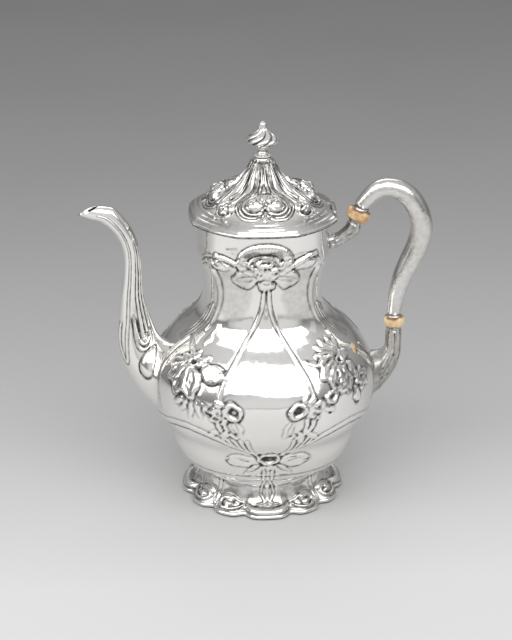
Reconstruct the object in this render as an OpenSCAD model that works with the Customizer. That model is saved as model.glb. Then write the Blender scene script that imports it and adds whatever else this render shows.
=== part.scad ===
// Silver coffee pot: a chased, rounded-square baluster body on a lobed foot, with a hinged domed lid,
// a swan-neck spout and a hollow S-curved handle that two ivory rings keep cool.
// The origin is the centre of the foot on the table. +Z is up, the spout points to -X and the handle to +X.

/* [Body] */
// Thickness of the sheet silver
wall = 0.9; // [0.8:0.1:1.2]
// Height of the foot, where the body stands on it
foot_h = 26; // [24:0.5:28]
// Half width of the belly
belly_r = 79; // [77:0.5:80]
// Height of the widest part of the belly
belly_z = 92; // [90:0.5:94]
// Half width of the neck
neck_r = 40.5; // [39.5:0.5:42]
// Height of the narrowest part of the neck
neck_z = 156.5; // [154:0.5:159]
// Half width of the collar above the neck
collar_r = 45; // [44.5:0.25:45.5]
// Height of the collar's upper edge, which the lid rests on
rim_z = 206.5; // [206:0.25:207]

/* [Foot] */
// Half width of the foot at the table, across its front lobe
foot_r = 58; // [56:0.5:60]
// Depth of the notches at the four corners
corner_notch = 4.5; // [3:0.25:5]
// Depth of the notches between a front lobe and its side lobes
lobe_notch = 4.5; // [3:0.25:5]
// Height of the foot's border wire
foot_wire_h = 3.5; // [3:0.25:4]

/* [Mouth and lid] */
// Radius of the round mouth
mouth_r = 35.6; // [35:0.1:36]
// Radial gap between the mouth and the lid's bezel
bezel_gap = 1; // [0.9:0.1:1.3]
// Half width of the lid's edge
lid_r = 50.5; // [50:0.25:51]
// Gap between the lid's edge and the collar
lid_gap = 0.6; // [0.5:0.05:0.8]
// Height of the lid's dome, up to the finial
dome_top_z = 248; // [246:0.5:249]
// Height of the tip of the finial
pot_h = 272.7; // [271:0.1:274]

/* [Hinge] */
// Distance of the hinge pin from the middle of the pot
hinge_x = 48.4; // [48:0.1:49]
// Height of the hinge pin
hinge_z = 209.8; // [209.5:0.1:210.2]
// Radius of the hinge pin
hinge_pin_r = 1; // [0.8:0.05:1.1]
// Outer radius of the knuckles
knuckle_r = 2.2; // [2:0.1:2.3]
// Length of each of the three knuckles
knuckle_len = 5; // [4:0.25:5.5]

/* [Handle] */
// Radius of the upper ivory ring
upper_ring_r = 8.1; // [7.5:0.1:8.5]
// Height of the upper ivory ring
upper_ring_h = 8; // [7:0.25:8.5]
// Radius of the lower ivory ring
lower_ring_r = 7.4; // [7:0.1:8]
// Height of the lower ivory ring
lower_ring_h = 7.4; // [6.5:0.1:8]
// Radius of the cross pins that hold the ivory rings
cross_pin_r = 0.8; // [0.6:0.05:0.9]

/* [Strainer] */
// Radius of each strainer hole behind the spout
strainer_hole_r = 1.6; // [1.2:0.1:1.8]
// Distance between strainer holes
strainer_pitch = 6; // [5:0.25:6.5]

/* [Hidden] */

round_fn = 64;
pin_fn = 32;
body_sides = 48;
foot_sides = 96;
lid_sides = 64;
spout_sides = 28;
handle_sides = 20;
finial_sides = 32;

// Catmull-Rom point between stations i and i + 1, for stations of any length
function between(p, i, u) =
    let (a = p[max(i - 1, 0)], b = p[i], c = p[i + 1], d = p[min(i + 2, len(p) - 1)])
    0.5 * (2 * b + (c - a) * u + (2 * a - 5 * b + 4 * c - d) * u ^ 2 + (3 * b - 3 * c + d - a) * u ^ 3);

// The stations with points added along a smooth curve, `steps` to each gap
function smoothed(p, steps) = concat(
    [for (i = [0:len(p) - 2], k = [0:steps - 1]) between(p, i, k / steps)],
    [p[len(p) - 1]]
);

function reversed(p) = [for (i = [len(p) - 1:-1:0]) p[i]];

// Step along the inward normal of a profile of [radius, height] that is followed upwards
function inward(p, i, t) =
    let (d = p[min(i + 1, len(p) - 1)] - p[max(i - 1, 0)])
    t / norm([d[0], d[1]]) * [-d[1], d[0]];

// Radius of a rounded square of half width 1, for a bulge of 2 (a circle) or more
function squared(a, bulge) = pow(pow(abs(cos(a)), bulge) + pow(abs(sin(a)), bulge), -1 / bulge);

function around(i, sides) = 360 * i / sides;

// Surface through rings of equal length. A looped skin joins its last ring to its first, and leaves no ends.
module skin(rings, looped = false) {
    n = len(rings[0]);
    m = len(rings);
    rows = looped ? m - 1 : m - 2;
    sides = [
        for (j = [0:rows], i = [0:n - 1])
            let (k = (i + 1) % n, up = (j + 1) % m)
            each [[j * n + i, up * n + k, j * n + k], [j * n + i, up * n + i, up * n + k]]
    ];
    ends = looped ? [] : [[for (i = [0:n - 1]) i], [for (i = [n - 1:-1:0]) (m - 1) * n + i]];
    polyhedron(points = [for (ring = rings, p = ring) p], faces = concat(sides, ends));
}

// ---- Body ----

// [half width, height, bulge of the rounded square] from the foot up to the collar's edge
body_stations = [
    [43.8, foot_h, 2.3],
    [57, foot_h + 6.5, 2.3],
    [63.5, belly_z - 48.5, 2.2],
    [67.2, belly_z - 36, 2.15],
    [belly_r - 4, belly_z - 24, 2.1],
    [belly_r - 0.4, belly_z - 10, 2.1],
    [belly_r, belly_z + 4, 2.1],
    [belly_r - 5, belly_z + 15.5, 2.15],
    [belly_r - 14.5, belly_z + 27, 2.3],
    [neck_r + 11.2, neck_z - 26.5, 2.6],
    [neck_r + 2.8, neck_z - 16, 2.9],
    [neck_r, neck_z, 3.2],
    [neck_r + 1, neck_z + 15.5, 3.2],
    [collar_r, rim_z - 23.5, 3.1],
    [collar_r - 0.8, rim_z - 12.5, 3],
    [collar_r - 1, rim_z, 3]
];
body_outer = smoothed(body_stations, 2);
body_inner = [for (i = [0:len(body_outer) - 1])
    let (q = body_outer[i], d = inward(body_outer, i, wall))
    [q[0] + d[0], q[1] + d[1], q[2]]];

body_radii = [for (q = body_outer) [q[1], q[0]]];
body_bulges = [for (q = body_outer) [q[1], q[2]]];

// Point on the outside of the body at a compass angle and a height, sunk into the wall by `sink`
function on_body(a, z, sink = 0) =
    let (r = lookup(z, body_radii) * squared(a, lookup(z, body_bulges)) - sink)
    [r * cos(a), r * sin(a), z];

function body_ring(q) = [
    for (i = [0:body_sides - 1])
        let (a = around(i, body_sides), r = q[0] * squared(a, q[2]))
        [r * cos(a), r * sin(a), q[1]]
];

strainer_rows = 5;
strainer_z = 88;

// Rows of 3, 4, 5, 4 and 3 holes through the wall, inside the root of the spout
module strainer_holes() {
    middle = (strainer_rows - 1) / 2;
    for (row = [0:strainer_rows - 1]) {
        holes = strainer_rows - abs(row - middle);
        for (i = [0:holes - 1])
            translate([-belly_r, (i - (holes - 1) / 2) * strainer_pitch, strainer_z])
                translate([0, 0, (row - middle) * strainer_pitch * sin(60)])
                    rotate([0, 90, 0])
                        cylinder(r = strainer_hole_r, h = 24, center = true, $fn = pin_fn);
    }
}

module body_shell() {
    color("silver")
    difference() {
        skin(concat([for (q = body_outer) body_ring(q)], [for (q = reversed(body_inner)) body_ring(q)]));
        strainer_holes();
    }
}

// Flat plate that closes the collar down to the round mouth
rim_t = 1.2;

module mouth_rim() {
    rim = [for (i = [0:lid_sides - 1])
        let (a = around(i, lid_sides), r = (collar_r - 1 - wall) * squared(a, 3))
        r * [cos(a), sin(a)]];
    color("silver")
    translate([0, 0, rim_z - rim_t])
        difference() {
            linear_extrude(rim_t) polygon(rim);
            translate([0, 0, -1]) cylinder(r = mouth_r, h = rim_t + 2, $fn = round_fn);
        }
}

// ---- Foot ----

// Share of a notch at `off` degrees from its middle
function notch(off, width) = exp(-(off / width) ^ 2);

// Millimetres that the notches cut back the lobed outline at a compass angle
function lobes(a) =
    let (f = abs((a + 45 + 720) % 90 - 45))
    corner_notch * notch(f - 45, 5) + lobe_notch * notch(f - 18, 5);

// [radius, height, share of the lobed outline]
foot_stations = [
    [43.8, foot_h, 0],
    [44.2, 21.5, 0.05],
    [46.5, 14, 0.3],
    [50.5, 8.5, 0.65],
    [foot_r - 2, foot_wire_h + 1, 0.9],
    [foot_r - 1, foot_wire_h, 1]
];

function foot_ring(q, inset = 0) = [
    for (i = [0:foot_sides - 1])
        let (a = around(i, foot_sides), r = q[0] - inset - q[2] * lobes(a))
        [r * cos(a), r * sin(a), q[1]]
];

module foot() {
    upward = reversed(foot_stations);
    color("silver")
    skin(
        concat(
            [for (q = upward) foot_ring(q)],
            [for (q = foot_stations) foot_ring(q, q[2] > 0.6 ? 1.6 * wall : wall)]
        ),
        looped = true
    );
}

foot_wire_w = 4;

module foot_wire() {
    rim = foot_ring([foot_r, 0, 1]);
    inner = foot_ring([foot_r, 0, 1], foot_wire_w);
    color("silver")
    linear_extrude(foot_wire_h)
        difference() {
            polygon([for (p = rim) [p[0], p[1]]]);
            polygon([for (p = inner) [p[0], p[1]]]);
        }
}

// ---- Spout and sockets ----

// A rib is [x and z of its outer point, x and z of its inner point, half width across]
function rib_ring(q, sides, t = 0) =
    let (mid = [q[0] + q[2], q[1] + q[3]] / 2, v = [q[2] - q[0], q[3] - q[1]] / 2, s = 1 - t / norm(v))
    [for (i = [0:sides - 1])
        let (c = cos(around(i, sides)), w = (q[4] - t) * sin(around(i, sides)))
        [mid[0] + v[0] * s * c, w, mid[1] + v[1] * s * c]];

// Outline on the body's surface. A root is [compass angle, height, half angle, half height].
function root_ring(root, sides, t = 0, sink = 0) = [
    for (i = [0:sides - 1])
        let (a = around(i, sides), side = root[0] > 90 ? -1 : 1, spread = root[2] - t)
        on_body(root[0] + side * spread * sin(a), root[1] + (root[3] - t) * cos(a), sink)
];

flare_steps = 5;
root_sink = 0.4;

// Rings that spread from the last rib down to a root outline, each side on its own quadratic curve
function flare(before, last, root) = [
    for (k = [1:flare_steps])
        let (u = k / flare_steps)
        [for (i = [0:len(last) - 1])
            let (
                ahead = last[i] - before[i],
                bend = last[i] + ahead / norm(ahead) * norm(root[i] - last[i]) * 0.52
            )
            (1 - u) ^ 2 * last[i] + 2 * u * (1 - u) * bend + u ^ 2 * root[i]]
];

function branch(ribs, root, sides, t) =
    let (rings = [for (q = ribs) rib_ring(q, sides, t)], m = len(rings))
    concat(rings, flare(rings[m - 2], rings[m - 1], root_ring(root, sides, t, root_sink)));

// Hollow tube that follows its ribs and spreads onto the body
module hollow_branch(ribs, root, sides, t) {
    skin(concat(branch(ribs, root, sides, 0), reversed(branch(ribs, root, sides, t))), looped = true);
}

// From the bevelled lip back to where the neck starts to spread
spout_ribs = [
    [-125.5, 209.3, -112, 215.4, 4.8],
    [-118, 206.4, -106.5, 215, 5.3],
    [-109.5, 203.4, -99.8, 212.4, 5.5],
    [-100.6, 194.5, -90.6, 200.5, 5.5],
    [-96, 182, -85.1, 185.8, 5.6],
    [-96.4, 165.5, -83.6, 168, 6.2],
    [-98.8, 148.5, -82.2, 148.5, 7.8],
    [-101.2, 127.6, -75.5, 125.5, 11]
];
spout_root = [180, 89, 21, 26];

module spout() {
    color("silver") hollow_branch(smoothed(spout_ribs, 2), spout_root, spout_sides, wall);
}

// Ends of the handle: [x, z, lean from vertical towards +X]
upper_ring_at = [66, 204.8, 22];
lower_ring_at = [93, 124.7, 0];
socket_wall = 1.3;
grip_wall = 1;
upper_socket_r = 4.8;
lower_socket_r = 5.2;

// Rib square to a ring's axis, `up` along that axis from the ring's middle
function ring_rib(at, up, r) =
    let (s = sin(at[2]), c = cos(at[2]), x = at[0] + up * s, z = at[1] + up * c)
    [x + r * c, z - r * s, x - r * c, z + r * s, r];

upper_socket_ribs = [
    ring_rib(upper_ring_at, -upper_ring_h / 2, upper_socket_r),
    ring_rib(upper_ring_at, -upper_ring_h / 2 - 3, upper_socket_r),
    [66, 191, 57.6, 196.6, 4.8],
    [58.2, 185.4, 52.5, 192.2, 4.6]
];
upper_root = [0, 185.5, 9, 6.5];

lower_socket_ribs = [
    ring_rib(lower_ring_at, -lower_ring_h / 2, lower_socket_r),
    ring_rib(lower_ring_at, -lower_ring_h / 2 - 7, lower_socket_r),
    [98.3, 106, 87.6, 108, 5.8]
];
lower_root = [0, 84, 12, 17.5];

module upper_socket() {
    color("silver")
    difference() {
        hollow_branch(upper_socket_ribs, upper_root, handle_sides, socket_wall);
        pin_hole(pin_places[1]);
    }
}

module lower_socket() {
    color("silver")
    difference() {
        hollow_branch(lower_socket_ribs, lower_root, handle_sides, socket_wall);
        pin_hole(pin_places[3]);
    }
}

// ---- Handle ----

// [x, z, radius] down the middle of the grip, between the two ivory rings
grip_stations = [
    [77.2, 220.8, 6.2],
    [84.2, 223.5, 6.6],
    [91.5, 222.4, 7.1],
    [98.3, 218.5, 7.5],
    [103.9, 212.3, 7.7],
    [108.4, 202.8, 7.9],
    [110.2, 192, 7.9],
    [107.6, 180.2, 7.8],
    [102.5, 168.5, 7.5],
    [98, 158, 6.9],
    [95.2, 147.7, 6.2],
    [93.6, 138.5, 5.6]
];
grip_end_r = 5.2;

// Rib square to the path of the grip at station i
function grip_rib(p, i) =
    let (d = p[min(i + 1, len(p) - 1)] - p[max(i - 1, 0)], u = [d[0], d[1]] / norm([d[0], d[1]]), q = p[i])
    [q[0] - u[1] * q[2], q[1] + u[0] * q[2], q[0] + u[1] * q[2], q[1] - u[0] * q[2], q[2]];

// The path ends square on the rings' faces
function ring_station(at, up, r) = [at[0] + up * sin(at[2]), at[1] + up * cos(at[2]), r];

grip_path = concat(
    [for (up = [upper_ring_h / 2, upper_ring_h / 2 + 4]) ring_station(upper_ring_at, up, grip_end_r)],
    grip_stations,
    [for (up = [lower_ring_h / 2 + 4, lower_ring_h / 2]) ring_station(lower_ring_at, up, grip_end_r)]
);

module handle_grip() {
    path = smoothed(grip_path, 2);
    ribs = [for (i = [0:len(path) - 1]) grip_rib(path, i)];
    color("silver")
    difference() {
        skin(
            concat(
                [for (q = ribs) rib_ring(q, handle_sides)],
                [for (q = reversed(ribs)) rib_ring(q, handle_sides, grip_wall)]
            ),
            looped = true
        );
        pin_hole(pin_places[0]);
        pin_hole(pin_places[2]);
    }
}

tenon_len = 10;
tenon_fit = 0.25;
ring_edge = 2.2;
pin_off = 3;

// [x, z, radius of the tube there, lean] of each cross pin, above and below each ring
pin_places = [
    for (e = [[upper_ring_at, upper_ring_h, upper_socket_r], [lower_ring_at, lower_ring_h, lower_socket_r]])
        each [
            [each ring_station(e[0], e[1] / 2 + pin_off, grip_end_r), e[0][2]],
            [each ring_station(e[0], -e[1] / 2 - pin_off, e[2]), e[0][2]]
        ]
];

module pin_hole(at) {
    translate([at[0], 0, at[1]])
        rotate([90, 0, 0]) cylinder(r = cross_pin_r, h = 4 * at[2], center = true, $fn = pin_fn);
}

// Ring with rounded edges and a tenon into the silver tube at each end
module insulator(at, r, h, upper_tenon_r, lower_tenon_r) {
    arc = [for (a = [-90:15:90]) [r - ring_edge + ring_edge * cos(a), ring_edge * sin(a)]];
    flat = h / 2 - ring_edge;
    outline = concat(
        [[0, -h / 2 - tenon_len], [lower_tenon_r, -h / 2 - tenon_len], [lower_tenon_r, -h / 2]],
        [for (p = arc) [p[0], p[1] + (p[1] < 0 ? -flat : flat)]],
        [[upper_tenon_r, h / 2], [upper_tenon_r, h / 2 + tenon_len], [0, h / 2 + tenon_len]]
    );
    translate([at[0], 0, at[1]])
        rotate([0, at[2], 0])
            difference() {
                rotate_extrude($fn = round_fn) polygon(outline);
                for (up = [-1, 1])
                    translate([0, 0, up * (h / 2 + pin_off)])
                        rotate([90, 0, 0]) cylinder(r = cross_pin_r, h = 4 * r, center = true, $fn = pin_fn);
            }
}

module upper_insulator() {
    color("burlywood")
    insulator(upper_ring_at, upper_ring_r, upper_ring_h, grip_end_r - grip_wall - tenon_fit,
        upper_socket_r - socket_wall - tenon_fit);
}

module lower_insulator() {
    color("burlywood")
    insulator(lower_ring_at, lower_ring_r, lower_ring_h, grip_end_r - grip_wall - tenon_fit,
        lower_socket_r - socket_wall - tenon_fit);
}

pin_head_r = 1.3;

module handle_pins() {
    color("silver")
    for (at = pin_places)
        translate([at[0], 0, at[1]])
            for (side = [-1, 1])
                rotate([side * 90, 0, 0]) {
                    cylinder(r = cross_pin_r, h = at[2], $fn = pin_fn);
                    translate([0, 0, at[2]])
                        intersection() {
                            sphere(r = pin_head_r, $fn = pin_fn);
                            cylinder(r = pin_head_r, h = pin_head_r, $fn = pin_fn);
                        }
                }
}

// ---- Hinge ----

pin_fit = 0.06;
knuckle_gap = 0.3;
pin_ball_r = 1.8;
hinge_half = 1.5 * knuckle_len + knuckle_gap;

// Tube along Y with a running fit on the hinge pin
module knuckle(y) {
    translate([hinge_x, y + knuckle_len / 2, hinge_z])
        rotate([90, 0, 0])
            difference() {
                cylinder(r = knuckle_r, h = knuckle_len, $fn = pin_fn);
                translate([0, 0, -1])
                    cylinder(r = hinge_pin_r + pin_fit, h = knuckle_len + 2, $fn = pin_fn);
            }
}

pad_x = collar_r - 1.3;
pad_low = rim_z - 8.5;
pad_high = hinge_z - knuckle_r - 0.8;

// Two outer knuckles on webs that rise from a bracket soldered to the collar
module hinge_leaf_pot() {
    out_x = hinge_x + knuckle_r;
    web_x = hinge_x + hinge_pin_r + 0.1;
    color("silver")
    union() {
        translate([0, hinge_half, 0])
            rotate([90, 0, 0])
                linear_extrude(2 * hinge_half)
                    polygon([[pad_x, pad_low], [out_x, pad_high - 3], [out_x, pad_high], [pad_x, pad_high]]);
        for (side = [-1, 1]) {
            knuckle(side * (knuckle_len + knuckle_gap));
            translate([web_x, side * (knuckle_len + knuckle_gap) - knuckle_len / 2, pad_high - 1])
                cube([out_x - web_x, knuckle_len, hinge_z - pad_high + 1]);
        }
    }
}

module hinge_pin() {
    color("silver")
    translate([hinge_x, 0, hinge_z]) {
        rotate([90, 0, 0]) cylinder(r = hinge_pin_r, h = 2 * hinge_half + 2, center = true, $fn = pin_fn);
        for (side = [-1, 1])
            translate([0, side * (hinge_half + pin_ball_r + 0.3), 0]) sphere(r = pin_ball_r, $fn = pin_fn);
    }
}

// ---- Lid ----

lid_z = rim_z + lid_gap;
lid_wall = 1;

// [half width and height across a face, half width and height across a corner] up to the finial
lid_stations = [
    [lid_r, lid_z, lid_r + 1.5, lid_z],
    [lid_r - 0.2, lid_z + 2.2, lid_r + 1.3, lid_z + 2.2],
    [lid_r - 3.5, lid_z + 5.3, lid_r - 2.7, lid_z + 5],
    [42, lid_z + 8.7, 43.8, lid_z + 8.2],
    [37.2, lid_z + 11.6, 39.6, lid_z + 11],
    [35, lid_z + 15, 37, lid_z + 13.8],
    [33.5, lid_z + 18.2, 33.8, lid_z + 15.6],
    [29.5, lid_z + 20.4, 28.5, lid_z + 17.4],
    [23, lid_z + 22.2, 21.5, lid_z + 20],
    [17, lid_z + 25, 16, lid_z + 24.4],
    [12, lid_z + 30.6, 11.6, lid_z + 30.2],
    [8.6, dome_top_z - 4.6, 8.4, dome_top_z - 4.7],
    [6, dome_top_z, 6, dome_top_z]
];
lid_inner = [for (i = [0:len(lid_stations) - 1])
    let (
        q = lid_stations[i],
        face = inward([for (s = lid_stations) [s[0], s[1]]], i, lid_wall),
        corner = inward([for (s = lid_stations) [s[2], s[3]]], i, lid_wall)
    )
    i == 0 ? [q[0] - lid_wall, q[1], q[2] - lid_wall, q[3]]
    : [q[0] + face[0], q[1] + face[1], q[2] + corner[0], q[3] + corner[1]]];

stud_r = 1.8;
stud_fit = 0.2;

function lid_ring(q) = [
    for (i = [0:lid_sides - 1])
        let (a = around(i, lid_sides), share = sin(2 * a) ^ 2)
        let (r = q[0] + (q[2] - q[0]) * share, z = q[1] + (q[3] - q[1]) * share)
        [r * cos(a), r * sin(a), z]
];

function level_ring(r, z) = lid_ring([r, z, r, z]);

notch_half = hinge_half + 2 * pin_ball_r + 1.2;
notch_x = hinge_x - knuckle_r - 0.7;

// Room in the lid's edge for the knuckles and the ball ends of the pin
module hinge_notch() {
    translate([notch_x, -notch_half, lid_z - 1]) cube([2 * (lid_r - notch_x), 2 * notch_half, 9]);
}

cap_t = 1.5;
seat_r = 5;

module lid_shell() {
    hole_r = stud_r + stud_fit;
    color("silver")
    difference() {
        skin(
            concat(
                [for (q = lid_stations) lid_ring(q)],
                [level_ring(hole_r, dome_top_z), level_ring(hole_r, dome_top_z - cap_t)],
                [level_ring(seat_r, dome_top_z - cap_t)],
                [for (i = [len(lid_inner) - 2:-1:0]) lid_ring(lid_inner[i])]
            ),
            looped = true
        );
        hinge_notch();
    }
}

bezel_depth = 7;
bezel_wall = 1.2;

// Short tube that drops into the mouth, with a flat lip soldered inside the lid's edge
module lid_bezel() {
    r = mouth_r - bezel_gap;
    edge = lid_ring(lid_inner[0]);
    color("silver")
    difference() {
        union() {
            translate([0, 0, lid_z - bezel_depth]) cylinder(r = r, h = bezel_depth + bezel_wall, $fn = round_fn);
            translate([0, 0, lid_z]) linear_extrude(bezel_wall) polygon([for (p = edge) [p[0], p[1]]]);
        }
        translate([0, 0, lid_z - bezel_depth - 1])
            cylinder(r = r - bezel_wall, h = bezel_depth + bezel_wall + 2, $fn = round_fn);
        hinge_notch();
    }
}

leaf_slope = 31;
leaf_t = 1.6;
leaf_rise = 1.5;

// [distance from the tip, half width] along the leaf, down to the stem that ends at the middle knuckle
leaf_edge = [[0, 0], [1.5, 2.6], [5, 4.8], [9, 4.6], [12.5, 2.3], [17, 2.2]];

// Leaf-shaped plate along the lid's slope, ending in the middle knuckle
module hinge_leaf_lid() {
    edge = smoothed(leaf_edge, 3);
    stem_end = leaf_edge[len(leaf_edge) - 1][0];
    color("silver")
    union() {
        translate([hinge_x, 0, hinge_z + leaf_rise])
            rotate([0, leaf_slope, 0])
                translate([-stem_end, 0, 0])
                    linear_extrude(leaf_t)
                        polygon(concat(edge, [for (p = reversed(edge)) [p[0], -p[1]]]));
        knuckle(0);
    }
}

// ---- Finial ----

collar_top = dome_top_z + 2.6;

module finial_collar() {
    color("silver")
    rotate_extrude($fn = round_fn)
        polygon([
            [stud_r + stud_fit, dome_top_z],
            [5.2, dome_top_z],
            [6.2, dome_top_z + 0.8],
            [6.2, dome_top_z + 1.7],
            [5, collar_top],
            [stud_r + stud_fit, collar_top]
        ]);
}

// [radius, height above the collar, depth of the swirled flutes]
finial_stations = [
    [4.2, 0, 0],
    [3.2, 1.4, 0],
    [3.2, 2.8, 0],
    [4.6, 4.2, 0.1],
    [8, 6, 0.5],
    [10.7, 8.2, 0.8],
    [11, 10.2, 0.9],
    [9, 12.4, 0.8],
    [5.6, 14.6, 0.5],
    [3.4, 16.6, 0.25],
    [2.8, 18.8, 0.15],
    [2.4, 20.8, 0.1],
    [0.7, pot_h - collar_top, 0]
];
finial_flutes = 8;
swirl_per_mm = 9;

function finial_ring(q) = [
    for (i = [0:finial_sides - 1])
        let (a = around(i, finial_sides), r = q[0] - q[2] * (1 - cos(finial_flutes * (a - swirl_per_mm * q[1]))) / 2)
        [r * cos(a), r * sin(a), collar_top + q[1]]
];

module finial() {
    color("silver")
    difference() {
        skin([for (q = finial_stations) finial_ring(q)]);
        translate([0, 0, collar_top - 1]) cylinder(r = stud_r, h = stud_in_finial + 1, $fn = pin_fn);
    }
}

stud_in_finial = 7;
washer_r = 4.6;
washer_t = 0.8;
nut_r = 3.6;
nut_h = 2.6;
washer_z = dome_top_z - cap_t - washer_t;

module finial_stud() {
    color("silver")
    translate([0, 0, washer_z - nut_h - 1])
        cylinder(r = stud_r, h = collar_top + stud_in_finial - washer_z + nut_h + 1, $fn = pin_fn);
}

module finial_washer() {
    color("silver")
    translate([0, 0, washer_z])
        difference() {
            cylinder(r = washer_r, h = washer_t, $fn = round_fn);
            translate([0, 0, -1]) cylinder(r = stud_r + stud_fit, h = washer_t + 2, $fn = pin_fn);
        }
}

module finial_nut() {
    color("silver")
    translate([0, 0, washer_z - nut_h])
        difference() {
            cylinder(r = nut_r, h = nut_h, $fn = 6);
            translate([0, 0, -1]) cylinder(r = stud_r, h = nut_h + 2, $fn = pin_fn);
        }
}

body_shell();
mouth_rim();
foot();
foot_wire();
spout();
upper_socket();
lower_socket();
upper_insulator();
lower_insulator();
handle_grip();
handle_pins();
hinge_leaf_pot();
hinge_pin();
lid_shell();
lid_bezel();
hinge_leaf_lid();
finial_collar();
finial();
finial_stud();
finial_washer();
finial_nut();
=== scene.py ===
"""Looks of a silver coffee pot: chased body, foot and lid, swan-neck spout, hollow handle on ivory rings.

Lengths are in millimetres in the shape code and become metres when a mesh is made. +Z is up, the spout
points to -X and the handle to +X. A turn is an angle about +Z in degrees, from +X, so the front is at -90.
"""

import math

import bpy
import numpy as np
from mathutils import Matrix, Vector


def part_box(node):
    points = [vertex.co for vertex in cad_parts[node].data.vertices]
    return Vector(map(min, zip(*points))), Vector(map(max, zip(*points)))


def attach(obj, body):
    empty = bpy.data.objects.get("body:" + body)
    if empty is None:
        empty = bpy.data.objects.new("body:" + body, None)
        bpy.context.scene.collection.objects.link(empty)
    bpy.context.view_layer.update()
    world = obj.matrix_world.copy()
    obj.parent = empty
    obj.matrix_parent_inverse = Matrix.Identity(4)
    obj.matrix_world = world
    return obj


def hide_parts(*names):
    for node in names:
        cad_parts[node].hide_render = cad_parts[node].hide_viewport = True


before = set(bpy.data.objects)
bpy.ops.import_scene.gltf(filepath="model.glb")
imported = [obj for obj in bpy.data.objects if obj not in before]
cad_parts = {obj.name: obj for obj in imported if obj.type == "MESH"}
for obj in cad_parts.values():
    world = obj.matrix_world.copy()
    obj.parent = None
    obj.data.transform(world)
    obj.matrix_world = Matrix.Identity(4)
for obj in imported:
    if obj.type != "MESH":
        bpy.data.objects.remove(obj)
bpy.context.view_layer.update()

MM = 0.001

# Thickness of the raised sheet in the body, foot and spout
WALL = 0.9


def levels(node):
    """Heights of a CAD node's bottom and top."""
    low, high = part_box(node)
    return low[2] / MM, high[2] / MM


FOOT_TOP_Z, RIM_Z = levels("body_shell")
WIRE_TOP_Z = levels("foot_wire")[1]
LID_Z, DOME_TOP_Z = levels("lid_shell")
COLLAR_TOP_Z, FINIAL_TOP_Z = levels("finial")


# ---- Shape helpers ----

# Points from one station to the next on a smooth profile, and on a chased line
PROFILE_STEPS = 24
LINE_STEPS = 6


def smoothed(stations, steps):
    """Catmull-Rom curve through stations of any length, with `steps` points to each gap."""
    p = np.asarray(stations, float)
    padded = np.vstack([p[:1], p, p[-1:]])
    u = np.arange(steps)[:, None] / steps
    pieces = []
    for i in range(len(p) - 1):
        a, b, c, d = padded[i:i + 4]
        pieces.append(0.5 * (
            2 * b + (c - a) * u + (2 * a - 5 * b + 4 * c - d) * u**2 + (3 * b - 3 * c + d - a) * u**3
        ))
    return np.vstack([*pieces, p[-1:]])


def run_lengths(p):
    """Distance along a polyline at each of its points."""
    return np.concatenate([[0], np.cumsum(np.linalg.norm(np.diff(p, axis=0), axis=1))])


def spaced(stations, gap):
    """A smooth curve through the stations, in even steps of about `gap` in their first two columns."""
    fine = smoothed(stations, PROFILE_STEPS)
    run = run_lengths(fine[:, :2])
    at = np.linspace(0, run[-1], max(2, round(run[-1] / gap) + 1))
    return np.column_stack([np.interp(at, run, column) for column in fine.T]), at


def even_turns(count):
    return np.arange(count) * 360 / count


def wrapped(turns, period):
    """Turns brought to within half a period of 0."""
    return (turns + period / 2) % period - period / 2


def rings(radius, level, turns):
    """Grid of points at a radius and a level about the pot's axis, one row for each ring."""
    a = np.radians(turns)
    return np.stack([radius * np.cos(a), radius * np.sin(a), np.broadcast_to(level, radius.shape)], -1)


def squared(turn, bulge):
    """Radius of a rounded square of half width 1: bulge 2 is a circle."""
    a = np.radians(turn)
    return (np.abs(np.cos(a))**bulge + np.abs(np.sin(a))**bulge)**(-1 / bulge)


def smooth_step(x):
    """Eases from 0 at x = 0 to 1 at x = 1."""
    x = np.clip(x, 0, 1)
    return x * x * (3 - 2 * x)


def hill(x, width):
    """Smooth bump of height 1 around 0."""
    return np.exp(-(x / width)**2)


def normals_of(grid):
    """Outward unit normals of a grid of points [row, column, xyz] whose columns close on themselves."""
    across = np.roll(grid, -1, axis=1) - np.roll(grid, 1, axis=1)
    along = np.gradient(grid, axis=0)
    n = np.cross(across, along)
    return n / np.maximum(np.linalg.norm(n, axis=2, keepdims=True), 1e-9)


def end_fade(run, first, last):
    """Grows from 0 over the first stretch of a run and back to 0 over its last."""
    return (smooth_step(run / first) * smooth_step((run[-1] - run) / last))[:, None]


def blurred(f, times=1):
    """Soft average over neighbours; columns close on themselves and rows stop at the ends."""
    for _ in range(times):
        f = (np.roll(f, 1, axis=1) + 2 * f + np.roll(f, -1, axis=1)) / 4
        padded = np.vstack([f[:1], f, f[-1:]])
        f = (padded[:-2] + 2 * f + padded[2:]) / 4
    return f


def crevices(height, cell=0.8, depth=0.32):
    """Darkening from 0 to 1: oxide in hollows, where polishing does not reach, and painted shade on the steep
    undersides of raised work.
    """
    hollow = np.clip((blurred(height, 5) - height) / depth, 0, 1)
    # Painted shade: slopes that face down are darkened as if in shadow
    underside = np.clip((np.gradient(height, cell, axis=0) - 0.3) / 0.75, 0, 1)
    return np.maximum(hollow, 0.8 * underside)


def make_mesh(name, points, faces, stain):
    """Mesh object from points in millimetres and quads, smooth shaded, with a darkening value at each point
    for stains and painted shade.
    """
    mesh = bpy.data.meshes.new(name)
    mesh.from_pydata(points.reshape(-1, 3) * MM, [], faces)
    mesh.validate()
    mesh.shade_smooth()
    stains = mesh.attributes.new("stain", "FLOAT", "POINT")
    stains.data.foreach_set("value", np.asarray(stain, np.float32).ravel())
    piece = bpy.data.objects.new(name, mesh)
    bpy.context.scene.collection.objects.link(piece)
    return piece


def ring_faces(grid, looped=True):
    """Quads between rings; a looped skin also joins the last ring to the first."""
    rows, columns = grid.shape[:2]
    j, i = np.meshgrid(np.arange(rows if looped else rows - 1), np.arange(columns), indexing="ij")
    k, up = (i + 1) % columns, (j + 1) % rows
    return np.stack([j * columns + i, j * columns + k, up * columns + k, up * columns + i], -1).reshape(-1, 4)


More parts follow.
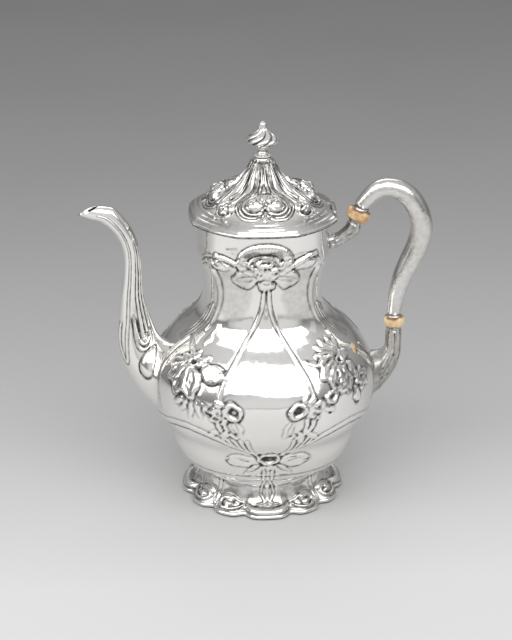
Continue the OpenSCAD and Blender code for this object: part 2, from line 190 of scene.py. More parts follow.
def wall_piece(name, outer, inner, stain):
    """Closed wall between an outer grid and a coarser, unstained inner grid, both from bottom to top."""
    grid = np.concatenate([outer, inner[::-1]])
    return make_mesh(name, grid, ring_faces(grid), np.concatenate([stain, np.zeros(inner.shape[:2])]))


def chased(base, relief, fade, wall, inner_step, low, high):
    """A wall's outer grid, raised by its relief, and its plain inner grid, kept between two levels."""
    outward = normals_of(base)
    inner = (base - outward * wall)[::inner_step]
    inner[:, :, 2] = np.clip(inner[:, :, 2], low, high)
    return base + outward * (blurred(relief.height) * fade)[..., None], inner


# ---- Relief: heights on a wall's outside, drawn with a few chasing tools ----


class Relief:
    """Heights in millimetres on a grid of turns (columns) and levels (rows).

    A place is (turn, level). Near a place, x runs to the right and y runs up, both in millimetres.
    `period` is the angle after which the pattern repeats.
    """

    def __init__(self, turns, levels, along, radii, period):
        self.turns, self.levels, self.along = turns, levels, along
        self.scale = np.radians(1) * radii
        self.period = period
        self.height = np.zeros((len(levels), len(turns)))
        self.stain = np.zeros_like(self.height)
        turn, run = np.radians(turns)[None, :], np.asarray(along)[:, None]
        self.waver_x = 0.4 * np.sin(22 * turn + 0.6 * run) + 0.25 * np.sin(37 * turn - 0.9 * run)
        self.waver_y = 0.4 * np.sin(19 * turn - 0.5 * run) + 0.25 * np.sin(33 * turn + 1.1 * run)

    def stains(self):
        cell = self.along[1] - self.along[0]
        return np.maximum(crevices(blurred(self.height), cell), self.stain)

    def row_run(self, level):
        return np.interp(level, self.levels, self.along)

    def near(self, place, reach, lean=0.0, steady=False):
        """Grid cells around a place, with x and y there, turned from x towards y by a lean in degrees.

        Unless steady, x and y are a little uneven, as hand work is.
        """
        run = self.row_run(place[1])
        rows = np.flatnonzero(np.abs(self.along - run) < reach)
        off = wrapped(self.turns - place[0], self.period)
        columns = np.flatnonzero(np.abs(off) * self.scale[rows].min() < reach)
        x = off[None, columns] * self.scale[rows, None]
        y = np.broadcast_to((self.along[rows] - run)[:, None], x.shape)
        cells = np.ix_(rows, columns)
        if not steady:
            x, y = x + self.waver_x[cells], y + self.waver_y[cells]
        c, s = math.cos(math.radians(lean)), math.sin(math.radians(lean))
        return cells, x * c + y * s, y * c - x * s

    def distance(self, places, reach):
        """Distance to a smooth line through the places, and how far along it the nearest point is, 0 to 1."""
        path = smoothed(places, LINE_STEPS)
        far = np.full(self.height.shape, 1e3)
        share = np.zeros(self.height.shape)
        for i in range(len(path) - 1):
            a, b = path[i], path[i + 1]
            middle = (a + b) / 2
            scale = np.interp(middle[1], self.levels, self.scale)
            half = np.array([(b[0] - a[0]) * scale, self.row_run(b[1]) - self.row_run(a[1])]) / 2
            size = np.hypot(*half)
            if size < 1e-6:
                continue
            cells, x, y = self.near(middle, size + reach, steady=True)
            u = np.clip((x * half[0] + y * half[1]) / size**2, -1, 1)
            d = np.hypot(x - u * half[0], y - u * half[1])
            closer = d < far[cells]
            far[cells] = np.where(closer, d, far[cells])
            share[cells] = np.where(closer, (i + (u + 1) / 2) / (len(path) - 1), share[cells])
        return far, share

    def bead(self, places, half, rise, groove=0.4, taper=0.0, stain=0.0):
        """Rounded raised line with a chased groove on each side; taper thins it towards its end."""
        d, share = self.distance(places, 3 * half + 2)
        w = half * (1 - taper * share)
        line = hill(d - w - 0.45, 0.55)
        body = rise * np.sqrt(np.clip(1 - (d / np.maximum(w, 0.1))**2, 0, 1))
        self.height += body - groove * line * (1 - 0.5 * taper * share)
        # Painted shade and oxide: the groove beside the bead can be darkened
        self.stain = np.maximum(self.stain, stain * line)

    def cut(self, places, half, depth, taper=0.6, stain=0.0):
        """Engraved line that fades towards its end."""
        d, share = self.distance(places, 3 * half + 1)
        line = hill(d, half) * (1 - taper * share)
        self.height -= depth * line
        # Painted shade and oxide: the engraved line can be darkened
        self.stain = np.maximum(self.stain, stain * line)

    def shade(self, place, half_x, half_y, stain, lean=0.0):
        """Oval patch darkened in the colour: painted shade, and tarnish that polishing never reaches."""
        cells, x, y = self.near(place, 2 * max(half_x, half_y), lean)
        q = np.hypot(x / half_x, y / half_y)
        self.stain[cells] = np.maximum(self.stain[cells], stain * smooth_step((1.25 - q) / 0.5))

    def petal(self, place, lean, length, half, rise, bend=0.0, blunt=0.75, veins=1, groove=0.2):
        """Leaf or petal from a base place: lean is its direction from x towards y, in degrees."""
        cells, x, y = self.near(place, length * 1.3 + half, lean)
        t = x / length
        b = y - bend * length * np.clip(t, 0, 1.2)**2
        frill = 1 + 0.1 * np.sin(11 * t + 2 * b / half + place[0])
        outline = half * np.sin(np.pi * np.clip(t, 0, 1)**blunt)**0.7 * frill
        q = np.clip(np.abs(b) / np.maximum(outline, 1e-3), 0, 1)
        edge = np.abs(b) - outline + 2 * np.maximum(0, np.maximum(-t, t - 1)) * length
        crinkle = 0.11 * np.cos(np.pi * veins * q) + 0.06 * np.sin(veins * (3 * t + place[0]) + 4 * b / half)
        dish = 0.42 + 0.36 * q**2 + 0.22 * smooth_step((t - 0.5) / 0.45) + crinkle
        body = rise * dish * smooth_step(-edge / 1.1)
        vein = 0.3 * rise * hill(b, 0.4) * smooth_step(t / 0.15) * smooth_step((0.85 - t) / 0.2)
        now = self.height[cells]
        self.height[cells] = np.where(
            edge < 0, np.maximum(body - vein * (veins > 0), 0.3 * now + body), now - groove * hill(edge, 0.6)
        )

    def spray(self, place, petals, rise, **more):
        """Several petals from one place, each (lean, length, half width)."""
        for lean, length, half in petals:
            self.petal(place, lean, length, half, rise, **more)

    def boss(self, place, half_x, half_y, rise, lean=0.0, groove=0.3, steady=False):
        """Smooth oval dome."""
        cells, x, y = self.near(place, 1.6 * max(half_x, half_y) + 1, lean, steady)
        q = np.hypot(x / half_x, y / half_y)
        size = min(half_x, half_y)
        dome = rise * np.sqrt(np.clip(1 - q**2, 0, 1))
        self.height[cells] += dome - groove * hill((q - 1) * size - 0.3, 0.5)

    def cup(self, place, half_x, half_y, rise, depth, lean=0.0, frills=5, stain=0.5):
        """Open trumpet of a flower: a broad frilled lip around a hollow that sits to one side."""
        cells, x, y = self.near(place, 1.7 * max(half_x, half_y) + 1, lean)
        u, v = x / half_x, y / half_y
        frill = 1 + 0.035 * np.cos(frills * np.arctan2(v, u) + place[0])
        q = np.hypot(u, v) / frill
        hollow = smooth_step((1 - np.hypot(u - 0.1, v - 0.14) / (0.68 * frill)) / 0.4)
        lip = rise * (0.62 + 0.38 * hill(q - 0.84, 0.22)) * smooth_step((1 - q) * min(half_x, half_y) / 0.9)
        now = self.height[cells]
        size = min(half_x, half_y)
        flower = lip * (1 - hollow) + (0.5 * rise - depth) * hollow
        self.height[cells] = np.where(q < 1, flower, now - 0.25 * hill((q - 1.04) * size, 0.6))
        # Painted shade inside the trumpet's hollow, with oxide
        self.stain[cells] = np.maximum(self.stain[cells], stain * hollow)

    def hatch(self, place, half_x, half_y, pitch, depth, lean=0.0):
        """Patch of fine parallel lines."""
        cells, x, y = self.near(place, 1.3 * max(half_x, half_y) + 1, lean)
        window = smooth_step((1 - np.abs(x) / half_x) * 3) * smooth_step((1 - np.abs(y) / half_y) * 3)
        self.height[cells] -= depth * (0.5 - 0.5 * np.cos(2 * np.pi * x / pitch)) * window


def placed(turn, side, places):
    """Places whose turns are counted from `turn`, mirrored where side is -1."""
    return [(turn + side * off, level) for off, level in places]


def both_sides(draw, places, *sizes, **more):
    """Draws a line and its mirror image across a turn of 0."""
    for side in (1, -1):
        draw(placed(0, side, places), *sizes, **more)


# ---- Materials ----


class Nodes:
    """Short-hand for building the node tree of a material or a world."""

    def __init__(self, owner, places="Object"):
        owner.use_nodes = True
        self.tree = owner.node_tree
        self.place = self.tree.nodes.new("ShaderNodeTexCoord").outputs[places]

    def feed(self, node, inputs):
        """Links or sets a node's inputs, given by name or number."""
        for key, value in inputs.items():
            if isinstance(value, bpy.types.NodeSocket):
                self.tree.links.new(value, node.inputs[key])
            else:
                node.inputs[key].default_value = value

    def add(self, kind, inputs, **settings):
        node = self.tree.nodes.new(kind)
        for key, value in settings.items():
            setattr(node, key, value)
        self.feed(node, inputs)
        return node

    def stain(self):
        return self.add("ShaderNodeAttribute", {}, attribute_name="stain").outputs["Fac"]

    def split(self):
        """X, Y and Z of the place."""
        return self.add("ShaderNodeSeparateXYZ", {"Vector": self.place}).outputs

    def noise(self, scale, detail, stretch=None):
        where = self.place
        if stretch:
            where = self.add("ShaderNodeMapping", {"Vector": self.place, "Scale": stretch}).outputs["Vector"]
        inputs = {"Vector": where, "Scale": scale, "Detail": detail, "Roughness": 0.55}
        return self.add("ShaderNodeTexNoise", inputs).outputs["Fac"]

    def spread(self, value, low, high, to_low, to_high, **settings):
        """A value's range from low to high, spread over a new range and clamped to it."""
        inputs = {"Value": value, "From Min": low, "From Max": high, "To Min": to_low, "To Max": to_high}
        return self.add("ShaderNodeMapRange", inputs, **settings).outputs["Result"]

    def mix(self, share, first, second):
        return self.add("ShaderNodeMix", {0: share, 6: first, 7: second}, data_type="RGBA").outputs[2]

    def maths(self, operation, first, second):
        return self.add("ShaderNodeMath", {0: first, 1: second}, operation=operation).outputs[0]

    def bump(self, height, strength, distance):
        inputs = {"Height": height, "Strength": strength, "Distance": distance}
        return self.add("ShaderNodeBump", inputs).outputs["Normal"]


BRIGHT_SILVER = (0.93, 0.92, 0.90, 1)
WARM_SILVER = (0.80, 0.76, 0.70, 1)
# Dark colour for oxide and for painted shade
OXIDE_AND_SHADE = (0.035, 0.030, 0.024, 1)
PALE_IVORY = (0.86, 0.71, 0.46, 1)
GRAINED_IVORY = (0.72, 0.49, 0.25, 1)
HANDLED_IVORY = (0.45, 0.23, 0.08, 1)
BROWN_IVORY = (0.15, 0.06, 0.02, 1)


def new_material(name, inputs_of):
    """Material whose shader takes its inputs from a function of its node tree."""
    material = bpy.data.materials.new(name)
    n = Nodes(material)
    n.feed(n.tree.nodes["Principled BSDF"], inputs_of(n))
    return material


def silver_material(name, gloss=0.09, tarnish=0.35, grain=0.02, grain_scale=1400, age=0.0):
    """Polished silver: faint clouding, polishing marks and dents, and dark oxide and painted shade where the
    mesh's darkening attribute is high.

    Age is the least oxide anywhere, and grain the strength of fine hammer marks.
    """
    def inputs(n):
        cloud = n.noise(22, 5)
        polished = n.mix(n.spread(cloud, 0.42, 0.75, 0, tarnish), BRIGHT_SILVER, WARM_SILVER)
        patches = n.spread(n.noise(300, 3), 0.3, 0.7, 0.7, 1.15)
        # Painted shade and oxide from the mesh's darkening attribute, never less than the age
        oxide_and_shade_share = n.maths("MULTIPLY", n.maths("MAXIMUM", n.stain(), age), patches)
        dark = n.spread(oxide_and_shade_share, 0.1, 0.9, 0, 0.96)
        streak = n.noise(260, 3, stretch=(1, 1, 0.22))
        wear = n.spread(streak, 0.35, 0.7, gloss * 0.75, gloss * 1.45)
        haze = n.maths("ADD", wear, n.spread(cloud, 0.45, 0.8, 0, 0.05))
        dents = n.maths("MULTIPLY", n.noise(grain_scale, 2), grain)
        for scale, detail, depth in ((70, 2, 0.8), (32, 1, 1.6)):
            dents = n.maths("ADD", dents, n.maths("MULTIPLY", n.noise(scale, detail), depth))
        return {
            "Base Color": n.mix(dark, polished, OXIDE_AND_SHADE),
            "Metallic": 1.0,
            "Roughness": n.maths("ADD", haze, n.maths("MULTIPLY", dark, 0.35)),
            "Normal": n.bump(dents, 0.4, 0.0009),
        }

    return new_material(name, inputs)


def ivory_inputs(n):
    """Aged ivory: warm cream with browner edges, fine lengthwise grain and a soft polish."""
    grain = n.noise(220, 4, stretch=(1, 1, 0.3))
    cream = n.mix(n.spread(grain, 0.35, 0.7, 0, 1), PALE_IVORY, GRAINED_IVORY)
    worn = n.mix(n.spread(n.noise(90, 3), 0.5, 0.7, 0, 0.7), cream, HANDLED_IVORY)
    return {
        "Base Color": n.mix(n.stain(), worn, BROWN_IVORY),
        "Roughness": n.spread(grain, 0.3, 0.7, 0.28, 0.42),
        "Subsurface Weight": 0.12,
        "Subsurface Radius": (0.003, 0.002, 0.001),
        "Normal": n.bump(grain, 0.25, 0.0004),
    }


SILVER = silver_material("silver_chased")
PLAIN_SILVER = silver_material("silver_plain", gloss=0.1, tarnish=0.45)
DULL_SILVER = silver_material("silver_worn", gloss=0.17, tarnish=0.7)
AGED_SILVER = silver_material("silver_aged", gloss=0.13, tarnish=0.9, age=0.5)
GRIP_SILVER = silver_material("silver_hammered", gloss=0.13, tarnish=1.0, grain=0.5, grain_scale=430)
IVORY = new_material("ivory", ivory_inputs)


def finish_piece(piece, body, node, material):
    """Puts a finished piece in place of a CAD node."""
    piece.data.materials.append(material)
    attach(piece, body)
    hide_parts(node)


# ---- Body ----

CELL = 0.8
BODY_COLUMNS = 560
INNER_ROW_STEP = 8

# Runs over which the relief grows from the bottom edge and fades to the top edge
BODY_FADE = (3, 3)

BODY_STATIONS = [
    [43.8, 26, 2.3],
    [57, 32.5, 2.3],
    [63.5, 43.5, 2.2],
    [67.2, 56, 2.15],
    [75, 68, 2.1],
    [78.6, 82, 2.1],
    [79, 96, 2.1],
    [74, 107.5, 2.15],
    [64.5, 119, 2.3],
    [51.7, 130, 2.6],
    [43.3, 140.5, 2.9],
    [40.5, 156.5, 3.2],
    [41.5, 172, 3.2],
    [45, 183, 3.1],
    [44.2, 194, 3],
    [44, RIM_Z, 3],
]


def add_neck_flower(r):
    """Flower on the neck: a hatched hood over a cup, a calyx, and a large crinkled petal on each side."""
    r.petal((-24, 195.6), 178, 10, 1.6, 1.1)
    hood = [(-21, 186.5), (-20.5, 191.5), (-14, 195.8), (-3, 197.3), (7, 196.6), (14, 194.4), (17.6, 190.5),
            (17.6, 185)]
    r.bead(hood, 3.3, 1.5, groove=0.25)
    # Painted shade under the hood: its hatch lines, two panels and the arch line below are darkened
    for k in range(15):
        turn = -22 + 2.9 * k
        lift = 2.4 * math.cos(math.radians(4 * (turn + 3)))
        r.cut([(turn * 0.8 - 1, 193.2 + lift * 0.5), (turn, 196.2 + lift)], 0.5, 0.35, taper=0.2, stain=0.4)
    for turn in (-12, 6):
        r.shade((turn, 193.2), 6.5, 2.8, 0.7)
    r.bead([(-16, 186.5), (-13, 190), (-3, 191.8), (7, 190), (11, 186.5)], 0.9, 0.8, stain=0.7)
    r.petal((-8, 181), 158, 17, 4.2, 1.8, bend=-0.15, blunt=1.0, veins=3)
    r.petal((7, 181), 28, 14, 4.0, 1.8, bend=0.15, blunt=1.0, veins=3)
    r.petal((-5, 177.6), 186, 19.5, 8.0, 2.4, bend=0.06, blunt=1.1, veins=4)
    r.petal((4, 177.6), -8, 18, 7.6, 2.4, bend=-0.06, blunt=1.1, veins=4)
    r.petal((9, 184), 2, 9, 3.0, 1.6, blunt=1.0, veins=2)
    r.cup((-2, 187.4), 6.6, 3.2, 1.8, 1.0, frills=5, stain=0.3)
    for side in (-1, 1):
        r.boss((side * 6 - 0.7, 183), 3.4, 2.4, 1.5, lean=-25 * side)
    r.boss((-0.7, 178.6), 6.6, 6.2, 2.4, groove=0.15)
    r.boss((-0.7, 170.2), 5.8, 4.8, 2.4, groove=0.35)
    for turn in (-4, 2.6):
        r.cut([(turn, 179), (turn * 0.8, 174.5)], 0.35, 0.3)
    r.cut([(-6, 173.4), (-0.7, 172.6), (5, 173.4)], 0.4, 0.4, taper=0, stain=0.5)


def add_stems(r):
    """Two stems from the neck flower that part down the front panel."""
    left = [(-2.6, 166), (-4.5, 155), (-8, 147), (-12, 140), (-17, 133), (-20.5, 125), (-24, 115),
            (-26, 105), (-25.5, 97)]
    right = [(1.6, 166), (2.7, 155), (5.2, 147), (9.5, 138), (14, 130), (18, 120), (21, 110), (22.3, 97)]
    for stem in (left, right):
        r.bead(stem, 1.15, 0.8)
    r.cut([(-0.5, 166), (-0.7, 158), (-0.8, 152)], 0.4, 0.3, stain=0.6)


def add_collar_lines(r):
    """Smooth sheaths along the collar between the corners and the neck flower, with a line above each."""
    for turn, lean in ((-28, 178), (20, 6)):
        r.petal((turn, 184.4), lean, 18, 3.4, 1.6, bend=-0.1 if turn < 0 else 0.1, blunt=1.0, veins=0)
    r.bead([(-44, 191), (-34, 189.5), (-24, 186), (-14, 180.5)], 1.5, 1.1, stain=0.5)
    r.bead([(12, 180.5), (22, 186), (32, 190), (42, 191.5)], 1.5, 1.1, stain=0.5)
    # Painted shade: broad darker patches on the neck's sides, standing in for dim reflections
    for turn in (-32, 31):
        r.shade((turn, 164), 13, 22, 0.3)
    r.bead([(-50, 186.5), (-43, 190.2), (-36, 191), (-27, 187.5)], 0.6, 0.45, groove=0.3)
    r.bead([(16, 186), (20.5, 190.2), (29, 192.8), (37, 191.5), (45, 187)], 0.6, 0.5, groove=0.3)
    r.bead([(-61, 182), (-55, 185.5), (-49, 184.5), (-45, 179)], 0.8, 0.6, groove=0.3)
    for lift in (0, 3.4):
        r.bead([(118, 181.5 + lift), (130, 187 + lift), (140, 183 + lift)], 0.75, 0.4, groove=0.3)


def add_side_seams(r):
    """Ridges down the belly that border the spout's and the handle's sides."""
    spout_side = [(-66, 127), (-70, 118), (-72, 108), (-70, 98), (-68, 88), (-67, 78)]
    handle_side = [(75, 116), (78, 105), (78.5, 94), (76, 86), (71, 78)]
    for seam in (spout_side, handle_side):
        r.bead(seam, 1.3, 1.1, groove=0.6, taper=0.6, stain=0.4)


def add_corner_creases(r):
    """Sharp folds down the corners of the neck."""
    for side, turn in ((-1, -46), (1, 44)):
        fold = placed(turn, side, [(-4, 181), (-6.5, 165), (-4, 152), (4, 138)])
        ridge = placed(turn, side, [(0, 180), (-3.5, 165), (-1, 150), (8, 135)])
        # Painted shade in the fold and beside the creases
        r.cut(fold, 0.8, 0.6, taper=0.5, stain=0.95)
        r.bead(ridge, 2.4, 0.9, groove=0, taper=0.5)
        for k in range(3):
            start = turn + side * (5 + 4 * k)
            crease = placed(start, side, [(0, 153 - 2 * k), (7, 142), (14, 132), (21, 124)])
            r.bead(crease, 0.9, 0.8, groove=0.5, taper=0.7, stain=0.5)


def add_daffodils(r):
    """One daffodil at the end of each stem, with petals behind its wide trumpet and a stalk below."""
    left = ((140, 11, 3.4), (180, 13, 3.8), (214, 14, 4.0), (250, 10, 3.2))
    right = ((84, 12, 2.8), (56, 14, 3.0), (28, 14, 3.2), (0, 12, 3.2), (-30, 11, 3.0))
    r.spray((-22, 92), left, 1.8)
    r.spray((17, 91.5), right, 1.8)
    r.cup((-19, 93.3), 7.4, 6.2, 2.2, 1.2, lean=-50, stain=0)
    r.cup((13.3, 92.8), 7.2, 5.6, 2.2, 1.2, lean=35, stain=0)
    # Painted shade in the trumpets' hollows and between the petals
    r.shade((-17.2, 90.4), 2.6, 1.1, 0.85, lean=-10)
    r.shade((12.8, 94.4), 2.8, 1.5, 0.85, lean=35)
    r.shade((-27, 87.4), 2.2, 1.3, 0.85)
    r.shade((21, 87.6), 2.0, 1.0, 0.8, lean=30)
    r.bead([(-25.5, 89), (-26.5, 84), (-25, 79), (-22, 75)], 1.5, 1.3)
    r.bead([(20.5, 89), (21.5, 84), (20, 79), (16.5, 75)], 1.5, 1.3)
    r.bead([(-22, 87), (-23, 82), (-21, 77), (-17.5, 73)], 1.1, 0.9)
    r.bead([(18, 86), (18, 81), (16, 76), (13, 72)], 1.1, 0.9)
    for side, turn, z in ((-1, -18.5, 86), (1, 10.5, 84)):
        r.petal((turn, z + 1), -90 - 26 * side, 13, 2.8, 1.3)
        r.petal((turn + 4 * side, z - 7), -90 + 14 * side, 10, 2.4, 1.2)
        r.petal((turn + 8 * side, z - 8), -90 + 50 * side, 11, 2.6, 1.2)
        # Painted shade along the stalk and in small spots under it
        r.cut(placed(turn, side, [(0, z + 1), (-2, z - 4), (-2.5, z - 8)]), 0.6, 0.4, stain=0.8)
        for k in range(3):
            r.shade((turn - (1 - 3 * k) * side, z - 9.5 + 1.2 * k), 1.8, 0.9, 0.8, lean=-30 * side)


def add_gathered_stems(r):
    """Bundles of stems that run down from the daffodils to the bottom flower."""
    for k in range(4):
        top = 23 - 3.6 * k
        stem = [(top, 72 - 0.4 * k), (top * 0.66 + 2, 64 - k), (7.4 - k, 55)]
        both_sides(r.bead, stem, 0.8, 0.9, groove=0.5)


def add_bottom_flower(r):
    """Flower low on the front, over the foot: a scalloped cup with painted shade inside, between slim looped
    petals.
    """
    middle = -0.7
    for side in (-1, 1):
        r.petal((middle + side * 4, 50), 90 - side * 86, 25, 5.6, 1.7, bend=-0.06 * side, blunt=1.2, veins=2)
        r.petal((middle + side * 4, 46), -90 + side * 50, 15, 4.6, 1.5, veins=2)
        r.bead(placed(middle, side, [(3.0, 46), (2.6, 38), (3.6, 28)]), 0.7, 0.9, groove=0.3)
        # Painted shade in the cuts beside the petals
        r.cut(placed(middle, side, [(5, 46.5), (9, 42.5), (13, 41)]), 0.7, 0.5, stain=1.0)
        r.cut(placed(middle, side, [(12, 50.6), (17, 51.6)]), 0.6, 0.4, stain=0.9)
    r.cut([(-24, 52), (-26.5, 48.5), (-23, 46)], 0.6, 0.4, taper=0, stain=0.8)
    r.petal((middle, 50), -90, 9, 3.6, 1.6)
    # Painted shade fills the cup's hollow
    r.cup((middle, 53.2), 8.2, 5.6, 2.4, 1.8, frills=9, stain=1.0)
    r.shade((middle, 54), 5.6, 3.4, 1.0)
    # Painted shade in small spots between the petals
    for place in ((14, 53.6), (16, 44.5), (22.5, 50.5)):
        r.shade(place, 2.4, 0.8, 0.9, lean=10)


def add_left_cluster(r):
    """Large open flower with leaves and sprigs on the corner towards the spout."""
    flower = (-48, 117)
    large = ((200, 21, 6.0), (226, 24, 6.4), (256, 26, 7.4), (290, 26, 8.4))
    small = ((158, 12, 3.6), (118, 15, 3.0), (84, 13, 3.0), (36, 15, 3.0), (14, 15, 2.8))
    r.spray(flower, large, 2.6, blunt=1.05, veins=4)
    r.spray(flower, small, 1.9)
    r.petal((-42, 115.5), -6, 21, 7.0, 2.4, bend=-0.05, blunt=1.2, veins=0)
    # Painted shade in the cup, the cut and small spots between the petals
    r.cup((-47.5, 117.5), 4.2, 3.6, 2.0, 1.4, lean=20, stain=0.8)
    r.shade((-27, 116.2), 3.0, 1.4, 0.85, lean=30)
    r.shade((-32, 110.4), 2.6, 1.2, 0.75, lean=-20)
    r.cut([(-41.5, 117), (-39.5, 114), (-36.5, 112.4)], 0.7, 0.6, stain=0.9)
    r.petal((-47, 127), 80, 14, 2.2, 1.4)
    r.petal((-52, 122), 130, 12, 2.4, 1.4)
    for k, lean in enumerate((215, 240, 265, 288, 310)):
        r.petal((-46 + 2.6 * k, 96.5), lean, 15 - 2 * abs(k - 2), 2.2, 1.4)
    # Painted shade in the gaps between the petals
    gaps = ((-35.5, 94.5, -40), (-31.5, 90, -30), (-50, 97.5, -35), (-57, 101, -35), (-43.5, 91, -70))
    for turn, z, lean in gaps:
        r.shade((turn, z), 2.4, 0.9, 0.85, lean=lean)


def add_right_cluster(r):
    """Spray of leaves and small flowers on the corner towards the handle."""
    r.petal((30, 117), 140, 12, 2.6, 1.3)
    # Painted shade in the cups, cuts and small spots between the petals, here and below
    r.shade((24, 121.4), 1.6, 0.8, 0.85, lean=-30)
    r.spray((44, 121), [(50 + 28 * k, 16, 3.4) for k in range(5)], 1.7, bend=0.08)
    r.hatch((41, 126), 9, 4.5, 1.7, 0.5, lean=35)
    r.shade((40, 123.6), 5, 1.1, 0.6, lean=-30)
    large = ((176, 18, 7), (204, 23, 7), (232, 25, 7), (262, 24, 7), (298, 18, 7))
    r.spray((45, 117), large, 2.5, blunt=1.0, veins=5)
    r.petal((45, 118), 20, 13, 4.4, 1.8, veins=2)
    r.cup((45, 117), 4.6, 3.6, 1.8, 1.3, stain=0.35)
    r.cut([(47.5, 113), (48, 107), (49.5, 101)], 1.3, 0.9, taper=0.2, stain=0.8)
    r.spray((55.5, 102.5), [(60 * k + 10, 9, 3.4) for k in range(6)], 1.9)
    r.cup((55.5, 102.5), 2.6, 2.3, 1.3, 1.0, frills=5, stain=0.6)
    r.petal((48.5, 100), -84, 14, 3.6, 2.2, blunt=0.9, groove=0.5)
    r.petal((42, 101), 172, 11, 3.0, 1.6)
    r.cup((32, 98.4), 5.6, 4.0, 2.0, 1.0, lean=15, stain=0.3)
    r.petal((28, 93), -30, 9, 2.2, 1.2)
    r.cut([(28.6, 96), (27.4, 92)], 0.6, 0.5, stain=0.8)
    # Painted shade in small spots between the petals
    for place in ((36, 105), (42.5, 99.4), (27, 99.4), (48.5, 88.5), (30.5, 88)):
        r.shade(place, 1.9, 1.4, 0.9, lean=-40)


# Angle off the face and level of the fold between the upper body and the bowl
CREASE = [(0, 56), (12, 58.5), (20, 63), (27, 68), (36, 71.5), (45, 73), (54, 71.5), (63, 68), (90, 62)]


def add_bowl_crease(r):
    """The chased upper body laps over the smooth bowl below it."""
    turn, z = np.array(CREASE, float).T
    off = np.abs(wrapped(r.turns, 180))
    d = r.along[:, None] - r.row_run(np.interp(off, turn, z))[None, :]
    beside = smooth_step((off - 14) / 10)
    r.height += 0.8 * smooth_step((d + 0.4) / 0.8) * smooth_step((26 - d) / 22) - 0.55 * hill(d + 0.5, 0.6)
    r.height += (0.5 * hill(d - 3.2, 1.2) - 0.4 * hill(d - 5.6, 1.0)) * beside


def add_junction(r):
    """Rolled joint between the body and the foot."""
    z = r.levels[:, None]
    r.height += 0.9 * hill(z - 31, 2.2) - 0.5 * hill(z - 35.5, 0.8)


# The front face's turn. The back repeats the front, half a turn away.
BODY_FACE = -90
BODY_PERIOD = 180


def body_radius(turn, z):
    """Half width of the body at a turn and a level."""
    profile, _ = spaced(BODY_STATIONS, CELL)
    size = np.interp(z, profile[:, 1], profile[:, 0])
    bulge = np.interp(z, profile[:, 1], profile[:, 2])
    return size * squared(turn, bulge)


def make_body():
    profile, along = spaced(BODY_STATIONS, CELL)
    turns = even_turns(BODY_COLUMNS)
    relief = Relief(turns - BODY_FACE, profile[:, 1], along, profile[:, 0], BODY_PERIOD)
    for add in (add_corner_creases, add_side_seams, add_collar_lines, add_stems, add_neck_flower,
                add_gathered_stems, add_daffodils, add_left_cluster, add_right_cluster, add_bottom_flower,
                add_bowl_crease, add_junction):
        add(relief)
    base = rings(profile[:, :1] * squared(turns[None, :], profile[:, 2:3]), profile[:, 1:2], turns)
    fade = end_fade(along, *BODY_FADE)
    outer, inner = chased(base, relief, fade, WALL, INNER_ROW_STEP, FOOT_TOP_Z, RIM_Z)
    finish_piece(wall_piece("pot_body", outer, inner, relief.stains()), "pot", "body_shell", SILVER)


make_body()


# ---- Foot ----

FOOT_CELL = 0.6
FOOT_COLUMNS = 560
FOOT_INNER_STEP = 6
FOOT_FADE = (1.5, 1.5)
FOOT_R = 58
NOTCH_DEPTH = 4.5

# Angles off a face's middle of the notches between the lobes, and how wide a notch is, in degrees
NOTCH_TURNS = (18, 45)
NOTCH_SPREAD = 5

# How far the border wire reaches in under the foot, and the points round its outer half
WIRE_DEPTH = 4
WIRE_STEPS = 13

# Mean radius of the foot's wall at its bottom and its top
FOOT_RADII = (54, 44)

# [radius, height, share of the lobes' notches], from the border wire up
FOOT_STATIONS = [
    [FOOT_R - 1, WIRE_TOP_Z, 1],
    [FOOT_R - 2, WIRE_TOP_Z + 1, 0.95],
    [50.5, 8.5, 0.65],
    [46.5, 14, 0.3],
    [44.4, 21.5, 0.05],
    [43.8, FOOT_TOP_Z, 0],
]


def face_off(turns):
    """Angle from the middle of the nearest face, without its sign."""
    return np.abs(wrapped(turns, 90))


def lobes(turns):
    """How far the foot's lobed outline is cut back, in millimetres."""
    return NOTCH_DEPTH * sum(hill(face_off(turns) - middle, NOTCH_SPREAD) for middle in NOTCH_TURNS)


